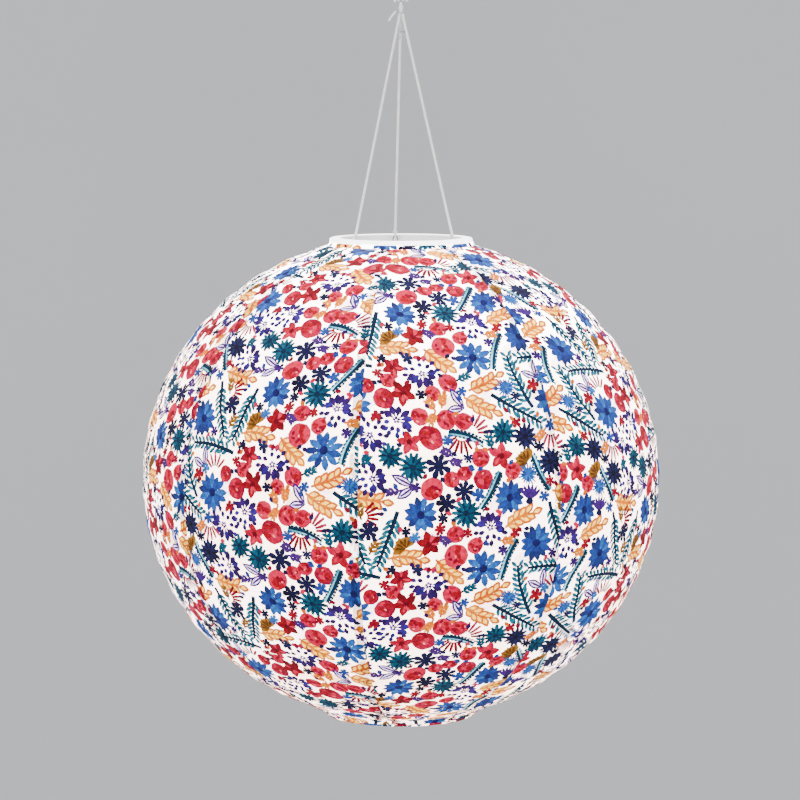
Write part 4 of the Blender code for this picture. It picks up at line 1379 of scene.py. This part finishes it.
def lug(azimuth):
    """A rounded eyelet plate on the recess's wall, bored for the wire link."""
    out = polar(1.0, azimuth, 0.0)
    side = Vector((-out.y, out.x, 0.0))
    middle = polar(LUG_R, azimuth, COLLAR_TOP_Z - LUG_DEPTH)
    bore = LINK_R - LUG_R
    points, faces, count = [], [], 32
    rings = [(1.0, 0.5), (0.93, 0.56), (None, 0.56), (None, -0.56), (0.93, -0.56), (1.0, -0.5)]
    for size, depth in rings:
        for k in range(count):
            a = TAU * k / count
            c, s = math.cos(a), math.sin(a)
            if size is None:
                x, y = bore + LUG_HOLE * c, LUG_HOLE * s
            else:
                x = size * LUG_HALF_WIDTH * math.copysign(abs(c) ** LUG_SQUARE, c)
                y = size * LUG_HALF_HEIGHT * math.copysign(abs(s) ** LUG_SQUARE, s)
            points.append(middle + out * x + Vector((0, 0, y)) + side * depth * LUG_THICK)
    return mesh_object("lug", points, bridges(len(rings), count))


def collar():
    profile = [(r, COLLAR_TOP_Z + d) for r, d in COLLAR_PROFILE]
    ring = lathe("ring", [tuple(p) for p in rounded(profile, EDGE)], 160)
    obj = joined("collar", [ring] + [lug(a) for a in LINK_AZIMUTHS.values()])
    sharpen(obj, 50.0)
    return finish_piece(obj, glowing_plastic(), "lantern", "white_plastic", "rim_collar")


def wire_link(side, material):
    """A small ring of steel wire, butted closed at its top, through the lug's bore."""
    azimuth = LINK_AZIMUTHS[side]
    tangent = Vector((-math.sin(azimuth), math.cos(azimuth), 0.0))
    out = polar(1.0, azimuth, 0.0)
    middle = polar(LINK_R, azimuth, COLLAR_TOP_Z - LINK_DEPTH)
    path = []
    for i in range(37):
        a = math.pi / 2 + 0.05 + (TAU - 0.10) * i / 36
        lift = 0.00012 * math.sin(a / 2)
        path.append(middle + tangent * LINK_HALF_WIDTH * math.cos(a) + Vector((0, 0, 1)) * LINK_HALF_HEIGHT
                    * math.sin(a) + out * lift)
    obj = sweep("link_" + side, path, LINK_WIRE / 2, sides=10, ends=False)
    return finish_piece(obj, material, "lantern", "link_steel", "wire_link_" + side)


collar()
LINK_METAL = metal("link_steel", (0.20, 0.19, 0.19), 0.38)
for link_side in LINK_AZIMUTHS:
    wire_link(link_side, LINK_METAL)


# ---- finishes of the solar head and the hoops
def rubber():
    g = Graph("seal_rubber", Roughness=0.8, Specular_IOR_Level=0.3)
    dust = g.noise(900.0, 4.0, 0.65)
    g.stain(dust, 0.45, 0.75, (0.022, 0.022, 0.024), (0.085, 0.083, 0.080))
    g.bump(dust, 0.4, 0.00004)
    return g.material


STRIP = 7.4   # millimetres from one strip of silicon to the next


def solar_cells():
    """Blue-black silicon strips, with thin silver fingers across them and a busbar along each."""
    g = Graph("solar_cell", Roughness=0.22, Coat_Weight=0.6, Coat_Roughness=0.05)
    x, y = (g.math("DIVIDE", along, MM) for along in g.split(g.here)[:2])

    def lines(value, step, width):
        share = g.math("FRACT", g.math("DIVIDE", value, step))
        return g.math("LESS_THAN", g.off(share, 0.5), width / step / 2)

    crystal = g.node("TexVoronoi", {"Vector": g.here, "Scale": 240.0}).outputs["Color"]
    shade = g.split(crystal)[0]
    silicon = g.mix(shade, (0.006, 0.010, 0.040), (0.014, 0.028, 0.105))
    fingers = g.mix(lines(y, 1.15, 0.09), silicon, (0.34, 0.36, 0.42))
    gap = g.math("LESS_THAN", g.math("FRACT", g.math("DIVIDE", x, STRIP)), 0.07)
    cells = g.mix(gap, fingers, (0.60, 0.60, 0.58))
    bars = g.mix(lines(x, STRIP, 0.55), cells, (0.52, 0.52, 0.54))
    far = g.math("MAXIMUM", g.math("ABSOLUTE", x), g.math("ABSOLUTE", y))
    g.set("Base Color", g.mix(g.math("GREATER_THAN", far, 21.6), bars, (0.72, 0.72, 0.70)))
    return g.material


def clear_cover():
    g = Graph("clear_cover", IOR=1.49, Transmission_Weight=1.0)
    scratches = g.noise(380.0, 5.0, 0.7)
    g.set("Roughness", g.remap(scratches, 0.45, 0.70, 0.02, 0.16))
    g.set("Base Color", g.mix(scratches, (0.97, 0.98, 1.0), (0.90, 0.92, 0.94)))
    return g.material


def battery_sleeve():
    """Heat-shrunk sleeve on the cell, with bare steel at both ends."""
    g = Graph("battery_sleeve", Coat_Weight=0.3, Coat_Roughness=0.12)
    y = g.math("DIVIDE", g.split(g.here)[1], MM)
    bare = g.math("GREATER_THAN", g.off(y, -0.5), 24.0)
    band = g.math("LESS_THAN", g.off(y, 16.5), 2.2)
    wrinkle = g.noise(300.0, 3.0)
    green = g.mix(wrinkle, (0.02, 0.16, 0.06), (0.04, 0.26, 0.10))
    g.set("Base Color", g.mix(bare, g.mix(band, green, (0.62, 0.64, 0.60)), (0.60, 0.60, 0.58)))
    g.set("Metallic", bare)
    g.set("Roughness", g.remap(wrinkle, 0.3, 0.7, 0.24, 0.44))
    g.bump(wrinkle, 0.4, 0.00006)
    return g.material


def circuit_board():
    """Green solder mask over etched tracks, with tinned pads."""
    g = Graph("circuit_board", Roughness=0.36)
    tracks = g.node("TexBrick", {"Vector": g.here, "Scale": 190.0, "Mortar Size": 0.055,
                                 "Color1": (0, 0, 0, 1), "Color2": (0, 0, 0, 1),
                                 "Mortar": (1, 1, 1, 1)}).outputs["Fac"]
    mask = g.mix(g.noise(500.0), (0.010, 0.085, 0.030), (0.018, 0.120, 0.045))
    board = g.mix(tracks, mask, (0.050, 0.230, 0.085))
    pads = g.node("TexVoronoi", {"Vector": g.here, "Scale": 210.0}).outputs["Distance"]
    g.set("Base Color", g.mix(g.math("LESS_THAN", pads, 0.16), board, (0.60, 0.59, 0.55)))
    g.bump(tracks, 0.4, 0.00003)
    return g.material


def lit_plastic(name, colour, glow, strength):
    """Milky plastic over the LED: brightest at the middle."""
    g = Graph(name, Roughness=0.42, Emission_Strength=strength)
    off = g.vector("SUBTRACT", g.here, tuple(LED_AT))
    flat = g.vector("MULTIPLY", off, (1.0, 1.0, 0.0))
    far = g.vector("LENGTH", flat, output="Value")
    bright = g.remap(far, 0.0, 0.0086, 1.0, 0.45)
    grain = g.noise(1400.0, 3.0)
    g.set("Emission Color", g.vector("SCALE", glow, bright))
    g.set("Base Color", g.mix(grain, tuple(0.94 * c for c in colour), colour))
    g.bump(grain, 0.25, 0.00003)
    return g.material


FINISHES = {
    rubber(): ("tray_seal", "panel_seal"),
    plastic("tray_plastic", (0.80, 0.79, 0.81), 0.38): ("panel_tray",),
    solar_cells(): ("solar_panel",),
    clear_cover(): ("panel_window",),
    # painted glow: the case and its door glow faintly with emission, for the LED's light inside them
    plastic("case_plastic", (0.84, 0.84, 0.83), 0.34, emission=((1.0, 0.95, 0.88), 0.6)): ("lower_case",),
    plastic("door_plastic", (0.80, 0.80, 0.79), 0.42, emission=((1.0, 0.95, 0.88), 0.5)): ("battery_door",),
    metal("screw_steel", (0.62, 0.61, 0.59), 0.30): ("case_screw_1", "case_screw_2", "case_screw_3"),
    battery_sleeve(): ("battery",),
    metal("spring_steel", (0.70, 0.68, 0.62), 0.24): ("battery_spring", "battery_contact"),
    circuit_board(): ("circuit_board",),
    plastic("red_wire", (0.52, 0.020, 0.016), 0.42): ("solar_lead_red",),
    plastic("black_wire", (0.018, 0.018, 0.020), 0.42, marks=0.3): ("solar_lead_black",),
    lit_plastic("led_lens", (0.90, 0.88, 0.80), (1.0, 0.93, 0.80), 16.0): ("led_emitter",),
    lit_plastic("frosted_plastic", (0.90, 0.90, 0.88), (1.0, 0.95, 0.86), 9.0): ("led_diffuser",),
    plastic("black_plastic", (0.022, 0.022, 0.024), 0.46, marks=0.3): ("switch_body", "switch_knob"),
    metal("hoop_steel", (0.66, 0.66, 0.65), 0.32): ("top_hoop", "bottom_hoop"),
}
for finish, finished_nodes in FINISHES.items():
    for node_name in finished_nodes:
        give(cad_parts[node_name], finish)


# ---- stage, light
FLOOR_Z = -4.0
WALL_R = 4.4
WALL_BEND = 1.8


def backdrop():
    """A round, pale studio: a floor far below the hanging lantern that curves up into a wall."""
    profile = [(0.02, FLOOR_Z), (WALL_R - WALL_BEND, FLOOR_Z)]
    for i in range(1, 17):
        a = math.pi / 2 * i / 16
        profile.append((WALL_R - WALL_BEND * (1 - math.sin(a)), FLOOR_Z + WALL_BEND * (1 - math.cos(a))))
    profile.append((WALL_R, 3.4))
    floor = lathe("studio_floor", profile, 96, closed=False)
    g = Graph("studio_floor", Roughness=0.9, Specular_IOR_Level=0.1)
    g.set("Base Color", g.mix(g.noise(1.3, 2.0), (0.70, 0.70, 0.71), (0.74, 0.74, 0.745)))
    give(floor, g.material)


def soft_light(name, at, size, power, colour):
    data = bpy.data.lights.new(name, "AREA")
    data.shape = "DISK"
    data.size = size
    data.energy = power
    data.color = colour
    obj = link(bpy.data.objects.new(name, data))
    obj.location = at
    aim = Vector((0.0, 0.0, -0.28)) - Vector(at)
    obj.rotation_euler = aim.to_track_quat("-Z", "Y").to_euler()


backdrop()
soft_light("key", (-1.4, -1.9, 1.3), 1.4, 78.0, (1.0, 0.97, 0.94))
soft_light("fill", (1.9, -1.5, 0.5), 1.6, 36.0, (0.93, 0.95, 1.0))
soft_light("top", (0.2, 0.6, 2.0), 1.2, 46.0, (1.0, 1.0, 1.0))
world = bpy.data.worlds.new("studio")
world.use_nodes = True
world.node_tree.nodes["Background"].inputs["Color"].default_value = (0.92, 0.95, 1.0, 1.0)
world.node_tree.nodes["Background"].inputs["Strength"].default_value = 1.0
bpy.context.scene.world = world
